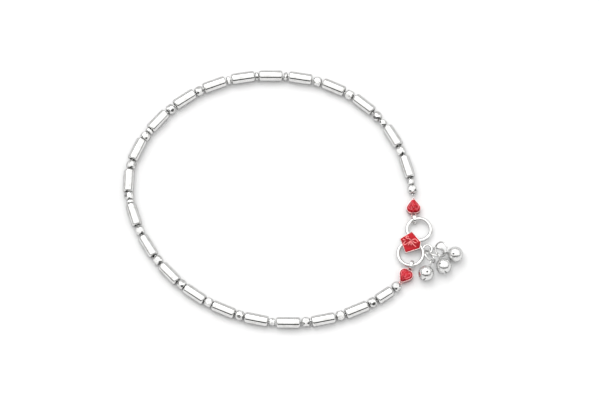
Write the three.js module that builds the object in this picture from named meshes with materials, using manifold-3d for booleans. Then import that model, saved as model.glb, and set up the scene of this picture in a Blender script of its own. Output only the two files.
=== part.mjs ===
// Payal anklet: tube beads and small spacer beads threaded on a fine chain, with an
// enamelled heart at each end, a flat S-shaped hook under a small enamelled plate, and
// three little bells on jump rings. It lies flat as an open loop. Millimetres, +Z up,
// origin at the middle of the outline, on the surface that the anklet lies on.
import * as THREE from 'three';
import { mergeVertices } from 'three/addons/utils/BufferGeometryUtils.js';
import Module from 'manifold-3d';

const wasm = await Module();
wasm.setup();

// ---- Driving dimensions --------------------------------------------------------------

// The thread: a fine chain, drawn here as a round cord of the chain's own width.
const THREAD = { radius: 0.45, sides: 8, step: 2.8, startX: 34.284, startY: 0.026, heading: 94.535 };
const THREAD_ENDS = { radius: 0.44, wire: 0.14, height: 1.35, lead: 1.5 };
// How far apart two neighbouring lengths of thread stay inside a tube bead.
const THREAD_GAP = 0.3;
// The thread's way round, as arcs that run into each other: radius in mm, turn in degrees.
const ROUTE = [
  { radius: 47.5, turn: 19.165 },
  { radius: 37.0, turn: 56.0 },
  { radius: 53.9, turn: 16.0 },
  { radius: 40.4, turn: 57.0 },
  { radius: 25.5, turn: 40.0 },
  { radius: 46.5, turn: 118.71 },
];

const TUBE = { length: 6.7, radius: 1.55, wall: 0.35, mouth: 0.85, lip: 0.4, shoulder: 0.45, sides: 12 };
const LAST_TUBE_LENGTH = 5.0;
const AXIS_HEIGHT = TUBE.radius;

// Spacer beads: length along the thread and radius. The profile is a squashed circle.
const SPACERS = {
  ball: { length: 2.35, radius: 1.42 },
  small: { length: 1.65, radius: 1.05 },
  disc: { length: 1.1, radius: 1.2 },
};
const SPACER = { mouth: 0.6, sides: 8, bands: 3 };
// What sits before each tube bead, in thread order, and the length that it takes up.
const THREADING = [
  { spacers: ['ball', 'small'], gap: 6.225 },
  { spacers: ['ball'], gap: 3.61 },
  { spacers: ['small', 'ball'], gap: 6.18 },
  { spacers: ['ball'], gap: 3.48 },
  { spacers: ['ball'], gap: 3.32 },
  { spacers: ['disc'], gap: 1.86 },
  { spacers: ['disc'], gap: 1.3 },
  { spacers: ['disc'], gap: 1.77 },
  { spacers: ['ball'], gap: 2.98 },
  { spacers: ['ball'], gap: 3.44 },
  { spacers: ['disc', 'ball'], gap: 3.95 },
  { spacers: ['ball'], gap: 3.26 },
  { spacers: ['ball', 'disc'], gap: 3.87 },
  { spacers: ['ball'], gap: 3.71 },
  { spacers: ['ball'], gap: 3.58 },
  { spacers: ['ball'], gap: 2.8 },
  { spacers: ['ball'], gap: 2.67 },
  { spacers: ['ball'], gap: 3.0 },
  { spacers: ['small'], gap: 2.29 },
  { spacers: ['ball'], gap: 3.19 },
  { spacers: ['ball'], gap: 3.13 },
  { spacers: ['ball'], gap: 3.1 },
];
const LAST_SPACER = 'ball';
const LAST_SPACER_TO_END = 1.27;
const TUBES_PER_RUN = 4;

// Hearts: two lobes and a rounded point, a band of metal round an enamel filling.
const HEART = { length: 4.2, lobe: 1.5, spacing: 0.5, tip: 0.8, band: 0.2, clearance: 0.06 };
const HEART_STEPS = 10;
const HEART_DEPTH = { band: 1.8, enamel: 2.4, bevel: 0.35, inset: 0.3, middle: 1.35 };
const POINT_EYE = { reach: 2.3, outer: 0.42, hole: 0.25, thickness: 0.26 };
const NOTCH_EYE = { reach: 2.56, outer: 0.7, hole: 0.53, thickness: 0.36 };
// The end links are flat bands: `wide` is how many times wider than thick they are.
const END_LINK = { radius: 1.24, wire: 0.2, wide: 2.3, height: 1.48 };

// The hook lies flat: two round loops of one wire that crosses over under the plate.
const HOOK = { x: 34.55, y: -13.24, axis: 71.7, apart: 7.74, wire: 0.5, height: 1.25 };
const LOOP = { upper: 3.35, lower: 3.55 };
const HOOK_TAIL = 28;
const HOOK_STEPS = 44;
// Where the end links hang on the loops, and how far each turns from its heart's direction.
const UPPER_LINK = { angle: 115.3, turn: 8 };
const LOWER_LINK = { angle: -79, turn: 18 };
const SIDE_RING = { x: 38.11, y: -15.54, radius: 1.25, wire: 0.275 };

// The plate: a square with its right corner cut off, corners measured from its middle.
const PLATE = { x: 33.39, y: -13.62, bottom: 1.6, floor: 2.05, top: 2.5, rim: 0.16 };
const PLATE_ENAMEL = { clearance: 0.06, top: 2.62, bevel: 0.12 };
const PLATE_CORNERS = [
  { x: 0.36, y: 3.02 },
  { x: -3.11, y: 0.82 },
  { x: -1.53, y: -3.49 },
  { x: 2.56, y: -2.12 },
  { x: 2.88, y: -0.28 },
];

// Bells: hollow spheres with crossed slits opposite the bail, a small round vent, and a
// loose pea inside.
const BELL = { radius: 2.2, wall: 0.3, slit: 0.42, slitDepth: 0.62, segments: 14, bands: 8 };
const VENT = { radius: 0.2, sides: 8 };
const BAIL = { wire: 0.22, sunk: 0.16 };
const PEA = { radius: 0.55, clearance: 0.1 };
// Where each bell lies, the way its bail points, the bail's plane and radius, where its vent
// is, and its jump ring: the middle, the direction square to it (azimuth, lift) and radius.
const BELLS = [
  {
    x: 37.58, y: -23.16, bail: { azimuth: 65.8, lift: 5, plane: 68.7, radius: 1.08 },
    vent: { azimuth: -48, lift: 84 },
    ring: { x: 38.65, y: -18.0, z: 1.89, azimuth: 29.1, lift: 35.9, radius: 2.03 },
  },
  {
    x: 42.6, y: -20.93, bail: { azimuth: 118, lift: 10.3, plane: 118.5, radius: 0.91 },
    vent: { azimuth: 180, lift: 60 },
    ring: { x: 40.67, y: -16.37, z: 1.53, azimuth: 83.7, lift: 53.3, radius: 2.14 },
  },
  {
    x: 45.9, y: -17.44, bail: { azimuth: 176, lift: 20, plane: 176, radius: 0.8 },
    vent: { azimuth: -133, lift: 70 },
    ring: { x: 41.97, y: -16.02, z: 2.4, azimuth: 205.2, lift: 46.6, radius: 2.05 },
  },
];
const JUMP_WIRE = 0.225;
const RING_SIDES = 8;
const RING_STEPS = 22;

// ---- Finishes ------------------------------------------------------------------------

const silver = new THREE.MeshStandardMaterial({ color: 0xd8dadd, roughness: 0.14, metalness: 1 });
const redEnamel = new THREE.MeshStandardMaterial({ color: 0xc4121c, roughness: 0.3, metalness: 0 });

// ---- Helpers -------------------------------------------------------------------------

const Z = new THREE.Vector3(0, 0, 1);
const rad = THREE.MathUtils.degToRad;

/** A point `reach` away from `from` in the plan, in the direction of `angle` degrees. */
function along(from, angle, reach) {
  return { x: from.x + reach * Math.cos(rad(angle)), y: from.y + reach * Math.sin(rad(angle)) };
}

/** A flat path of arcs and straights that runs on smoothly from one to the next. */
class ArcPath extends THREE.Curve {
  constructor(start, heading, runs, height = 0) {
    super();
    this.height = height;
    this.pieces = [];
    this.length = 0;
    let pose = { x: start.x, y: start.y, heading: rad(heading) };
    for (const run of runs) {
      const turn = rad(run.turn ?? 0);
      const length = run.length ?? run.radius * Math.abs(turn);
      this.pieces.push({ pose, length, from: this.length, bend: turn / length });
      this.length += length;
      pose = this.pose(this.length);
    }
  }

  /** Place and heading (radians) at a distance along the path. */
  pose(distance) {
    const piece = this.pieces.findLast((p) => p.from <= distance) ?? this.pieces[0];
    const s = distance - piece.from;
    const { x, y, heading } = piece.pose;
    if (piece.bend === 0) {
      return { x: x + s * Math.cos(heading), y: y + s * Math.sin(heading), heading };
    }
    const end = heading + piece.bend * s;
    return {
      x: x + (Math.sin(end) - Math.sin(heading)) / piece.bend,
      y: y - (Math.cos(end) - Math.cos(heading)) / piece.bend,
      heading: end,
    };
  }

  getPoint(t, target = new THREE.Vector3()) {
    const { x, y } = this.pose(t * this.length);
    return target.set(x, y, this.height);
  }
}

/** A stretch of the thread, which dips to the heart's eye at each end of the anklet. */
class ThreadStretch extends THREE.Curve {
  constructor(route, from, to) {
    super();
    this.route = route;
    this.from = from;
    this.to = to;
  }

  getPoint(t, target = new THREE.Vector3()) {
    const s = THREE.MathUtils.lerp(this.from, this.to, t);
    const fromEnd = Math.min(s, this.route.length - s);
    const rise = THREE.MathUtils.smoothstep(fromEnd, 0, THREAD_ENDS.lead);
    const { x, y } = this.route.pose(s);
    return target.set(x, y, THREE.MathUtils.lerp(THREAD_ENDS.height, AXIS_HEIGHT, rise));
  }
}

/** A round wire of `radius` along `path`, with flat ends. */
function wire(path, radius, sides, steps) {
  const corners = [];
  for (let i = 0; i < sides; i += 1) {
    const angle = (2 * Math.PI * (i + 0.5)) / sides;
    corners.push(new THREE.Vector2(radius * Math.cos(angle), radius * Math.sin(angle)));
  }
  return new THREE.ExtrudeGeometry(new THREE.Shape(corners), { extrudePath: path, steps });
}

/** Moves a geometry made round the Z axis so that the axis lies in the plan at `angle`. */
function layAlong(geometry, angle, place) {
  geometry.rotateY(Math.PI / 2);
  geometry.rotateZ(angle);
  return geometry.translate(place.x, place.y, place.z);
}

/** A ring of wire: its middle, the direction square to it, its size, and how wide it is. */
function ring(middle, normal, radius, wireRadius, wide = 1) {
  const geometry = new THREE.TorusGeometry(radius, wireRadius, RING_SIDES, RING_STEPS);
  geometry.scale(1, 1, wide);
  geometry.applyQuaternion(new THREE.Quaternion().setFromUnitVectors(Z, normal));
  return geometry.translate(middle.x, middle.y, middle.z);
}

/** A unit vector from an azimuth in the plan and a lift above it, in degrees. */
function direction(azimuth, lift = 0) {
  const flat = Math.cos(rad(lift));
  return new THREE.Vector3(flat * Math.cos(rad(azimuth)), flat * Math.sin(rad(azimuth)), Math.sin(rad(lift)));
}

/** A closed geometry with nothing but merged positions. */
function weld(geometry) {
  const bare = geometry.index ? geometry.toNonIndexed() : geometry.clone();
  bare.deleteAttribute('normal');
  bare.deleteAttribute('uv');
  return mergeVertices(bare, 1e-4);
}

/** The boolean library's solid for a closed geometry. */
function solid(geometry) {
  const welded = weld(geometry);
  return new wasm.Manifold(
    new wasm.Mesh({
      numProp: 3,
      vertProperties: new Float32Array(welded.attributes.position.array),
      triVerts: new Uint32Array(welded.index.array),
    }),
  );
}

/** All geometries joined into one solid. */
function join(geometries) {
  return geometries.map(solid).reduce((whole, next) => whole.add(next));
}

/** A geometry from a boolean result. */
function fromSolid(result) {
  const { vertProperties, triVerts, numProp } = result.getMesh();
  const interleaved = new THREE.InterleavedBuffer(vertProperties, numProp);
  const geometry = new THREE.BufferGeometry();
  geometry.setAttribute('position', new THREE.InterleavedBufferAttribute(interleaved, 3, 0));
  geometry.setIndex(new THREE.BufferAttribute(triVerts, 1));
  return geometry;
}

/** Adds a named mesh to the anklet. */
function add(name, geometry, material) {
  const mesh = new THREE.Mesh(geometry, material);
  mesh.name = name;
  anklet.add(mesh);
  return mesh;
}

const anklet = new THREE.Group();

// ---- Tube beads ----------------------------------------------------------------------

/** A hollow tube bead round the Z axis, its ends drawn in to a small mouth. */
function tubeBead(length) {
  // A polygon with its flats, not its corners, at the bead's radius: one flat is the foot.
  const outside = 1 / Math.cos(Math.PI / TUBE.sides);
  const half = length / 2;
  const outer = TUBE.radius * outside;
  const inner = (TUBE.radius - TUBE.wall) * outside;
  const profile = [
    new THREE.Vector2(TUBE.mouth, -half),
    new THREE.Vector2(outer - TUBE.lip, -half),
    new THREE.Vector2(outer, -half + TUBE.shoulder),
    new THREE.Vector2(outer, half - TUBE.shoulder),
    new THREE.Vector2(outer - TUBE.lip, half),
    new THREE.Vector2(TUBE.mouth, half),
    new THREE.Vector2(inner, half - TUBE.shoulder - TUBE.wall),
    new THREE.Vector2(inner, -half + TUBE.shoulder + TUBE.wall),
    new THREE.Vector2(TUBE.mouth, -half),
  ];
  const geometry = new THREE.LatheGeometry(profile, TUBE.sides, Math.PI / TUBE.sides);
  // A lathe turns about Y: this puts its axis on Z.
  return geometry.rotateX(Math.PI / 2);
}

// ---- Spacers and thread --------------------------------------------------------------

/** A spacer bead round the Z axis, with a flat round each end of its hole. */
function spacerBead({ length, radius }) {
  const profile = [new THREE.Vector2(0, -length / 2)];
  for (let i = 0; i <= SPACER.bands; i += 1) {
    const angle = (Math.PI * i) / SPACER.bands;
    const out = SPACER.mouth + (radius - SPACER.mouth) * Math.sin(angle);
    profile.push(new THREE.Vector2(out, (-length / 2) * Math.cos(angle)));
  }
  profile.push(new THREE.Vector2(0, length / 2));
  return new THREE.LatheGeometry(profile, SPACER.sides).rotateX(Math.PI / 2);
}

/** The eye that ends the thread: an upright ring that passes through the heart's own eye. */
function threadEye({ threadEnd, toHook }) {
  const middle = { ...threadEnd, z: THREAD_ENDS.height };
  return ring(middle, direction(toHook + 90), THREAD_ENDS.radius, THREAD_ENDS.wire);
}

const route = new ArcPath({ x: THREAD.startX, y: THREAD.startY }, THREAD.heading, ROUTE);

// The middles of the hook's two round loops.
const loopCentre = {
  upper: along(HOOK, HOOK.axis, HOOK.apart / 2),
  lower: along(HOOK, HOOK.axis, -HOOK.apart / 2),
};

/** Where a heart hangs: between one end of the thread and a point on a loop of the hook. */
function heartPlace(number, distance, loop, { angle, turn }) {
  const { x, y } = route.pose(distance);
  const hookPoint = along(loopCentre[loop], angle, LOOP[loop]);
  const toHook = THREE.MathUtils.radToDeg(Math.atan2(hookPoint.y - y, hookPoint.x - x));
  return { number, threadEnd: { x, y }, toHook, linkTurn: turn };
}

const hearts = [
  heartPlace(1, 0, 'upper', UPPER_LINK),
  heartPlace(2, route.length, 'lower', LOWER_LINK),
];

/** Works out where each tube and spacer sits along the thread. */
function threadBeads() {
  const tubes = [];
  const spacers = [];
  let at = 0;
  THREADING.forEach((row, index) => {
    const taken = row.spacers.reduce((sum, kind) => sum + SPACERS[kind].length, 0);
    // The first spacers hang close to their tube, with the slack beside the heart.
    const slack = (row.gap - taken) / (row.spacers.length + 1);
    let from = at + (index === 0 ? row.gap - taken - 3 * THREAD_GAP : slack);
    const step = index === 0 ? THREAD_GAP : slack;
    for (const kind of row.spacers) {
      spacers.push({ kind, at: from + SPACERS[kind].length / 2 });
      from += SPACERS[kind].length + step;
    }
    const length = index === THREADING.length - 1 ? LAST_TUBE_LENGTH : TUBE.length;
    tubes.push({ length, at: at + row.gap + length / 2 });
    at += row.gap + length;
  });
  spacers.push({ kind: LAST_SPACER, at: route.length - LAST_SPACER_TO_END });
  return { tubes, spacers };
}

const { tubes, spacers } = threadBeads();

/** A geometry made round the Z axis, laid on the thread at a distance along it. */
function onThread(geometry, distance) {
  const { x, y, heading } = route.pose(distance);
  return layAlong(geometry, heading, { x, y, z: AXIS_HEIGHT });
}

tubes.forEach((tube, index) => {
  const name = `tube_bead_${String(index + 1).padStart(2, '0')}`;
  add(name, onThread(tubeBead(tube.length), tube.at), silver);
});

/** One length of thread with its spacers, from a distance along the route to another. */
function threadRun(from, to) {
  const stretch = new ThreadStretch(route, from, to);
  const steps = Math.ceil((to - from) / THREAD.step);
  const parts = [wire(stretch, THREAD.radius, THREAD.sides, steps)];
  for (const spacer of spacers) {
    if (spacer.at > from && spacer.at < to) {
      parts.push(onThread(spacerBead(SPACERS[spacer.kind]), spacer.at));
    }
  }
  return parts;
}

// The thread is drawn in lengths that part in the middle of every fourth tube bead.
const endRoom = THREAD_ENDS.radius;
const partings = tubes.filter((_, index) => index % TUBES_PER_RUN === TUBES_PER_RUN - 1);
const starts = [endRoom, ...partings.map((tube) => tube.at + THREAD_GAP / 2)];
const ends = [...partings.map((tube) => tube.at - THREAD_GAP / 2), route.length - endRoom];
starts.forEach((from, index) => {
  const parts = threadRun(from, ends[index]);
  if (index === 0) {
    parts.push(threadEye(hearts[0]));
  }
  if (index === starts.length - 1) {
    parts.push(threadEye(hearts[1]));
  }
  add(`spacer_run_${index + 1}`, fromSolid(join(parts)), silver);
});

// ---- Hook ----------------------------------------------------------------------------

/** The hook's wire: round one loop, straight across, and round the other the other way. */
function hookWire() {
  // Angle from the hook's axis to where the straight leaves each loop.
  const both = LOOP.upper + LOOP.lower;
  const leave = THREE.MathUtils.radToDeg(Math.acos(both / HOOK.apart));
  const straight = Math.sqrt(HOOK.apart ** 2 - both ** 2);
  const turn = 360 - leave - HOOK_TAIL;
  const startAngle = HOOK.axis + 180 - HOOK_TAIL;
  const start = along(loopCentre.upper, startAngle, LOOP.upper);
  const runs = [
    { radius: LOOP.upper, turn: -turn },
    { length: straight },
    { radius: LOOP.lower, turn },
  ];
  return wire(new ArcPath(start, startAngle - 90, runs, HOOK.height), HOOK.wire, RING_SIDES, HOOK_STEPS);
}

/** The plate's outline, drawn in by `inset` all round. */
function plateShape(inset) {
  const corners = PLATE_CORNERS.map(({ x, y }) => new THREE.Vector2(x, y));
  const count = corners.length;
  const drawnIn = corners.map((corner, index) => {
    const before = corner.clone().sub(corners[(index + count - 1) % count]).normalize();
    const after = corners[(index + 1) % count].clone().sub(corner).normalize();
    // The corners run anticlockwise, so a quarter turn to the left points inwards.
    const inwards = new THREE.Vector2(-before.y - after.y, before.x + after.x).normalize();
    const stretch = inset / (inwards.x * -before.y + inwards.y * before.x);
    return corner.clone().addScaledVector(inwards, stretch);
  });
  return new THREE.Shape(drawnIn);
}

/** A plain slab of an outline between two heights, at the plate's place. */
function plateSlab(shape, bottom, top) {
  const slab = new THREE.ExtrudeGeometry(shape, { depth: top - bottom, bevelEnabled: false });
  return slab.translate(PLATE.x, PLATE.y, bottom);
}

/** The plate's tray: a floor with a low wall all round, soldered over the hook's crossing. */
function plateTray() {
  const well = plateSlab(plateShape(PLATE.rim), PLATE.floor, PLATE.top + 1);
  return solid(plateSlab(plateShape(0), PLATE.bottom, PLATE.top)).subtract(solid(well));
}

const sideRingMiddle = { x: SIDE_RING.x, y: SIDE_RING.y, z: HOOK.height };
const sideRing = ring(sideRingMiddle, Z, SIDE_RING.radius, SIDE_RING.wire);
add('s_hook', fromSolid(join([hookWire(), sideRing]).add(plateTray())), silver);

/** The plate's enamel, a pillow with eased edges that fills the tray. */
function plateEnamel() {
  const edge = PLATE.rim + PLATE_ENAMEL.clearance;
  const bottom = PLATE.floor + PLATE_ENAMEL.clearance;
  const geometry = new THREE.ExtrudeGeometry(plateShape(edge), {
    depth: PLATE_ENAMEL.top - bottom - 2 * PLATE_ENAMEL.bevel,
    bevelThickness: PLATE_ENAMEL.bevel,
    bevelSize: PLATE_ENAMEL.bevel,
    bevelOffset: -PLATE_ENAMEL.bevel,
    bevelSegments: 1,
  });
  return geometry.translate(PLATE.x, PLATE.y, bottom + PLATE_ENAMEL.bevel);
}

add('plate_enamel', plateEnamel(), redEnamel);

// ---- Hearts and end links ------------------------------------------------------------

/** A heart with its point towards +X, drawn in by `inset` all round. */
function heartShape(inset) {
  const tipX = HEART.length / 2 - HEART.tip;
  const lobeX = -HEART.length / 2 + HEART.lobe;
  const reach = Math.hypot(tipX - lobeX, HEART.spacing);
  // The direction, from both of its arcs' middles, in which each straight side lies.
  const lean = Math.atan2(HEART.spacing, tipX - lobeX);
  const shoulder = Math.acos((HEART.lobe - HEART.tip) / reach) - lean;
  const radius = HEART.lobe - inset;
  const notch = Math.PI + Math.asin(HEART.spacing / radius);
  const shape = new THREE.Shape();
  shape.absarc(tipX, 0, HEART.tip - inset, -shoulder, shoulder, false);
  shape.absarc(lobeX, HEART.spacing, radius, shoulder, notch, false);
  shape.absarc(lobeX, -HEART.spacing, radius, -notch, -shoulder, false);
  shape.closePath();
  return shape;
}

/** A flat washer at a distance along X: a soldered eye. */
function flatEye(eye, at) {
  const shape = new THREE.Shape();
  shape.absarc(at, 0, eye.outer, 0, 2 * Math.PI, false);
  const hole = new THREE.Path();
  hole.absarc(at, 0, eye.hole, 0, 2 * Math.PI, true);
  shape.holes.push(hole);
  const washer = new THREE.ExtrudeGeometry(shape, {
    depth: eye.thickness,
    bevelEnabled: false,
    curveSegments: 6,
  });
  return washer.translate(0, 0, -eye.thickness / 2);
}

/** The heart's metal: a band round the enamel, with an eye at the point and at the notch. */
function heartBand() {
  const shape = heartShape(0);
  shape.holes.push(new THREE.Path(heartShape(HEART.band).getPoints(HEART_STEPS)));
  const options = { depth: HEART_DEPTH.band, bevelEnabled: false, curveSegments: HEART_STEPS };
  const band = new THREE.ExtrudeGeometry(shape, options).translate(0, 0, -HEART_DEPTH.band / 2);
  return fromSolid(join([band, flatEye(POINT_EYE, POINT_EYE.reach), flatEye(NOTCH_EYE, -NOTCH_EYE.reach)]));
}

/** The heart's enamel, domed above and below its band. */
function heartEnamel() {
  const { enamel, bevel, inset } = HEART_DEPTH;
  const geometry = new THREE.ExtrudeGeometry(heartShape(HEART.band + HEART.clearance), {
    depth: enamel - 2 * bevel,
    bevelThickness: bevel,
    bevelSize: inset,
    bevelOffset: -inset,
    bevelSegments: 2,
    curveSegments: HEART_STEPS,
  });
  return geometry.translate(0, 0, bevel - enamel / 2);
}

/** Adds a heart at its place, and the upright link that joins it to the hook. */
function addHeart({ number, threadEnd, toHook, linkTurn }) {
  const middle = along(threadEnd, toHook, THREAD_ENDS.radius + POINT_EYE.reach);
  for (const [name, geometry, material] of [
    ['heart_band', heartBand(), silver],
    ['heart_enamel', heartEnamel(), redEnamel],
  ]) {
    const mesh = add(`${name}_${number}`, geometry, material);
    mesh.rotation.z = rad(toHook + 180);
    mesh.position.set(middle.x, middle.y, HEART_DEPTH.middle);
  }
  const notchHole = along(middle, toHook, NOTCH_EYE.reach);
  const linkMiddle = { ...along(notchHole, toHook + linkTurn, END_LINK.radius), z: END_LINK.height };
  const { radius, wire: thickness, wide } = END_LINK;
  const link = ring(linkMiddle, direction(toHook + linkTurn + 90), radius, thickness, wide);
  add(`end_link_${number}`, link, silver);
}

hearts.forEach(addHeart);

// ---- Bells ---------------------------------------------------------------------------

/** A bell's hollow shell, with two crossed slits, its vent and its bail. */
function bellShell({ azimuth, lift, plane, radius }, vent) {
  const globe = (size) => new THREE.SphereGeometry(size, BELL.segments, BELL.bands);
  const slit = (width, depth) => {
    const cut = new THREE.BoxGeometry(width, depth, BELL.radius);
    return cut.translate(0, 0, -BELL.radius * (BELL.slitDepth + 0.5));
  };
  const across = 2 * BELL.radius;
  let shell = solid(globe(BELL.radius)).subtract(solid(globe(BELL.radius - BELL.wall)));
  shell = shell.subtract(solid(slit(BELL.slit, across))).subtract(solid(slit(across, BELL.slit)));
  const axis = direction(azimuth, lift);
  const turned = fromSolid(shell).applyQuaternion(new THREE.Quaternion().setFromUnitVectors(Z, axis));
  const bailMiddle = axis.clone().multiplyScalar(BELL.radius + radius - BAIL.sunk);
  const bail = ring(bailMiddle, direction(plane + 90), radius, BAIL.wire);
  const drill = new THREE.CylinderGeometry(VENT.radius, VENT.radius, BELL.radius, VENT.sides);
  drill.rotateX(Math.PI / 2).translate(0, 0, BELL.radius);
  const through = direction(vent.azimuth, vent.lift);
  drill.applyQuaternion(new THREE.Quaternion().setFromUnitVectors(Z, through));
  return fromSolid(join([turned, bail]).subtract(solid(drill)));
}

BELLS.forEach((bell, index) => {
  const number = index + 1;
  const shell = add(`bell_${number}`, bellShell(bell.bail, bell.vent), silver);
  shell.position.set(bell.x, bell.y, BELL.radius);
  const peaGeometry = new THREE.SphereGeometry(PEA.radius, 8, 6);
  const pea = add(`bell_pea_${number}`, peaGeometry, silver);
  pea.position.set(bell.x, bell.y, BELL.wall + PEA.radius + PEA.clearance);
  const { azimuth, lift, radius } = bell.ring;
  const jumpRing = ring(bell.ring, direction(azimuth, lift), radius, JUMP_WIRE);
  add(`jump_ring_${number}`, jumpRing, silver);
});

export default anklet;
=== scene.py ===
"""Payal anklet of polished silver tube beads with red enamel hearts and three bells.

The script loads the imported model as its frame, replaces each plain solid with a finished
piece in the same place, and sets up the table, the light and the camera. Shapes are
worked out in millimetres and scaled to metres as each piece is made.
"""

import logging
import math
from collections.abc import Callable, Sequence
from dataclasses import dataclass, field
from enum import Enum

import bmesh
import bpy
from bmesh.types import BMEdge, BMesh, BMFace, BMVert
from bpy.types import Material, NodeSocket, Object
from mathutils import Matrix, Vector


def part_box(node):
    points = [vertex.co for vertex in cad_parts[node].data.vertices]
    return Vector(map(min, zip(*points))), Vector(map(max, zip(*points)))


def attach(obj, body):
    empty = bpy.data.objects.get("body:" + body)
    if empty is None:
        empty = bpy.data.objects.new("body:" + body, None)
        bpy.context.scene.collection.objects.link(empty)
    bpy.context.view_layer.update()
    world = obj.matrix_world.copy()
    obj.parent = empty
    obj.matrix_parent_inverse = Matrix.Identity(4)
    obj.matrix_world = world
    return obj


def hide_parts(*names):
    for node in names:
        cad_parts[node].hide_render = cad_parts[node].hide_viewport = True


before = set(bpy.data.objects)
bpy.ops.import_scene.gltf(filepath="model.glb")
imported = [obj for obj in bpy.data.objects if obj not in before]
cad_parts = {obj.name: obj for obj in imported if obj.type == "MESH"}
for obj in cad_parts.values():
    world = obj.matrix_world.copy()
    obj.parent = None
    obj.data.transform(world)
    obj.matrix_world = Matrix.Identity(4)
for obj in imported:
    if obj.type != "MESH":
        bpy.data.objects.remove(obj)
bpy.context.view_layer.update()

LOG = logging.getLogger("payal_anklet")
MM = 0.001
BODY = "root"
WELD = 1e-4
FULL_TURN = 2 * math.pi
Z_AXIS = Vector((0, 0, 1))
WIRE_CREASE = 60
CUT_CREASE = 14

Colour = tuple[float, float, float]
Point = tuple[float, float]
Line = tuple[Point, ...]


class Slot(Enum):
    """The material slots that the record names."""

    SILVER = "polished_silver"
    ENAMEL = "red_enamel"


# ---- Finishes ------------------------------------------------------------------------


class NodeSheet:
    """A material's node tree, with short ways to add and join nodes."""

    def __init__(self, name: str) -> None:
        """Starts a material with nothing but its shader and output.

        Args:
            name: the material's name.
        """
        self.material = bpy.data.materials.new(name)
        self.material.use_nodes = True
        self.tree = self.material.node_tree
        self.shader = self.tree.nodes["Principled BSDF"]
        coordinates = self.tree.nodes.new("ShaderNodeTexCoord")
        self.object_coords = coordinates.outputs["Object"]

    def set_shader(self, **values: float | tuple[float, ...]) -> None:
        """Sets constants on the shader's own sockets.

        Args:
            values: socket names with underscores for spaces, and their values.
        """
        for name, value in values.items():
            socket = name.replace("_", " ").title().replace("Ior", "IOR")
            self.shader.inputs[socket].default_value = value

    def noise(self, feature_mm: float, detail: float) -> NodeSocket:
        """Adds a noise pattern over the object.

        Args:
            feature_mm: the size of one feature, in millimetres.
            detail: how many finer layers it has.

        Returns:
            The pattern's value, about 0 to 1.
        """
        texture = self.tree.nodes.new("ShaderNodeTexNoise")
        texture.inputs["Scale"].default_value = 1 / (feature_mm * MM)
        texture.inputs["Detail"].default_value = detail
        self.tree.links.new(self.object_coords, texture.inputs["Vector"])
        return texture.outputs["Fac"]

    def cells(self, feature_mm: float) -> NodeSocket:
        """Adds a pattern of rounded cells over the object.

        Args:
            feature_mm: the size of one cell, in millimetres.

        Returns:
            The distance to the nearest cell's middle, in cells.
        """
        texture = self.tree.nodes.new("ShaderNodeTexVoronoi")
        texture.inputs["Scale"].default_value = 1 / (feature_mm * MM)
        self.tree.links.new(self.object_coords, texture.inputs["Vector"])
        return texture.outputs["Distance"]

    def spread(
        self, value: NodeSocket, source: tuple[float, float], target: tuple[float, float]
    ) -> NodeSocket:
        """Maps a value from one range to another.

        Args:
            value: the value to map.
            source: the range that it comes in.
            target: the range that it goes out in.

        Returns:
            The mapped value.
        """
        node = self.tree.nodes.new("ShaderNodeMapRange")
        node.interpolation_type = "SMOOTHSTEP"
        for name, number in zip(("From Min", "From Max", "To Min", "To Max"), (*source, *target)):
            node.inputs[name].default_value = number
        self.tree.links.new(value, node.inputs["Value"])
        return node.outputs["Result"]

    def blend(self, factor: NodeSocket, low: Colour | NodeSocket, high: Colour) -> NodeSocket:
        """Mixes two colours by a factor.

        Args:
            factor: 0 for the low colour, 1 for the high one.
            low: a colour, or a socket that carries one.
            high: the other colour.

        Returns:
            The mixed colour.
        """
        node = self.tree.nodes.new("ShaderNodeMix")
        node.data_type = "RGBA"
        self.tree.links.new(factor, node.inputs["Factor"])
        if isinstance(low, NodeSocket):
            self.tree.links.new(low, node.inputs[6])
        else:
            node.inputs[6].default_value = (*low, 1)
        node.inputs[7].default_value = (*high, 1)
        return node.outputs[2]

    def relief(self, height: NodeSocket, depth_mm: float, strength: float) -> None:
        """Bumps the surface by a height pattern.

        Args:
            height: the pattern, 0 to 1.
            depth_mm: how deep the relief is, in millimetres.
            strength: how strongly it shows, 0 to 1.
        """
        node = self.tree.nodes.new("ShaderNodeBump")
        node.inputs["Strength"].default_value = strength
        node.inputs["Distance"].default_value = depth_mm * MM
        self.tree.links.new(height, node.inputs["Height"])
        self.tree.links.new(node.outputs["Normal"], self.shader.inputs["Normal"])

    def plug(self, value: NodeSocket, socket: str) -> None:
        """Joins a value to one of the shader's sockets."""
        self.tree.links.new(value, self.shader.inputs[socket])


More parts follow.
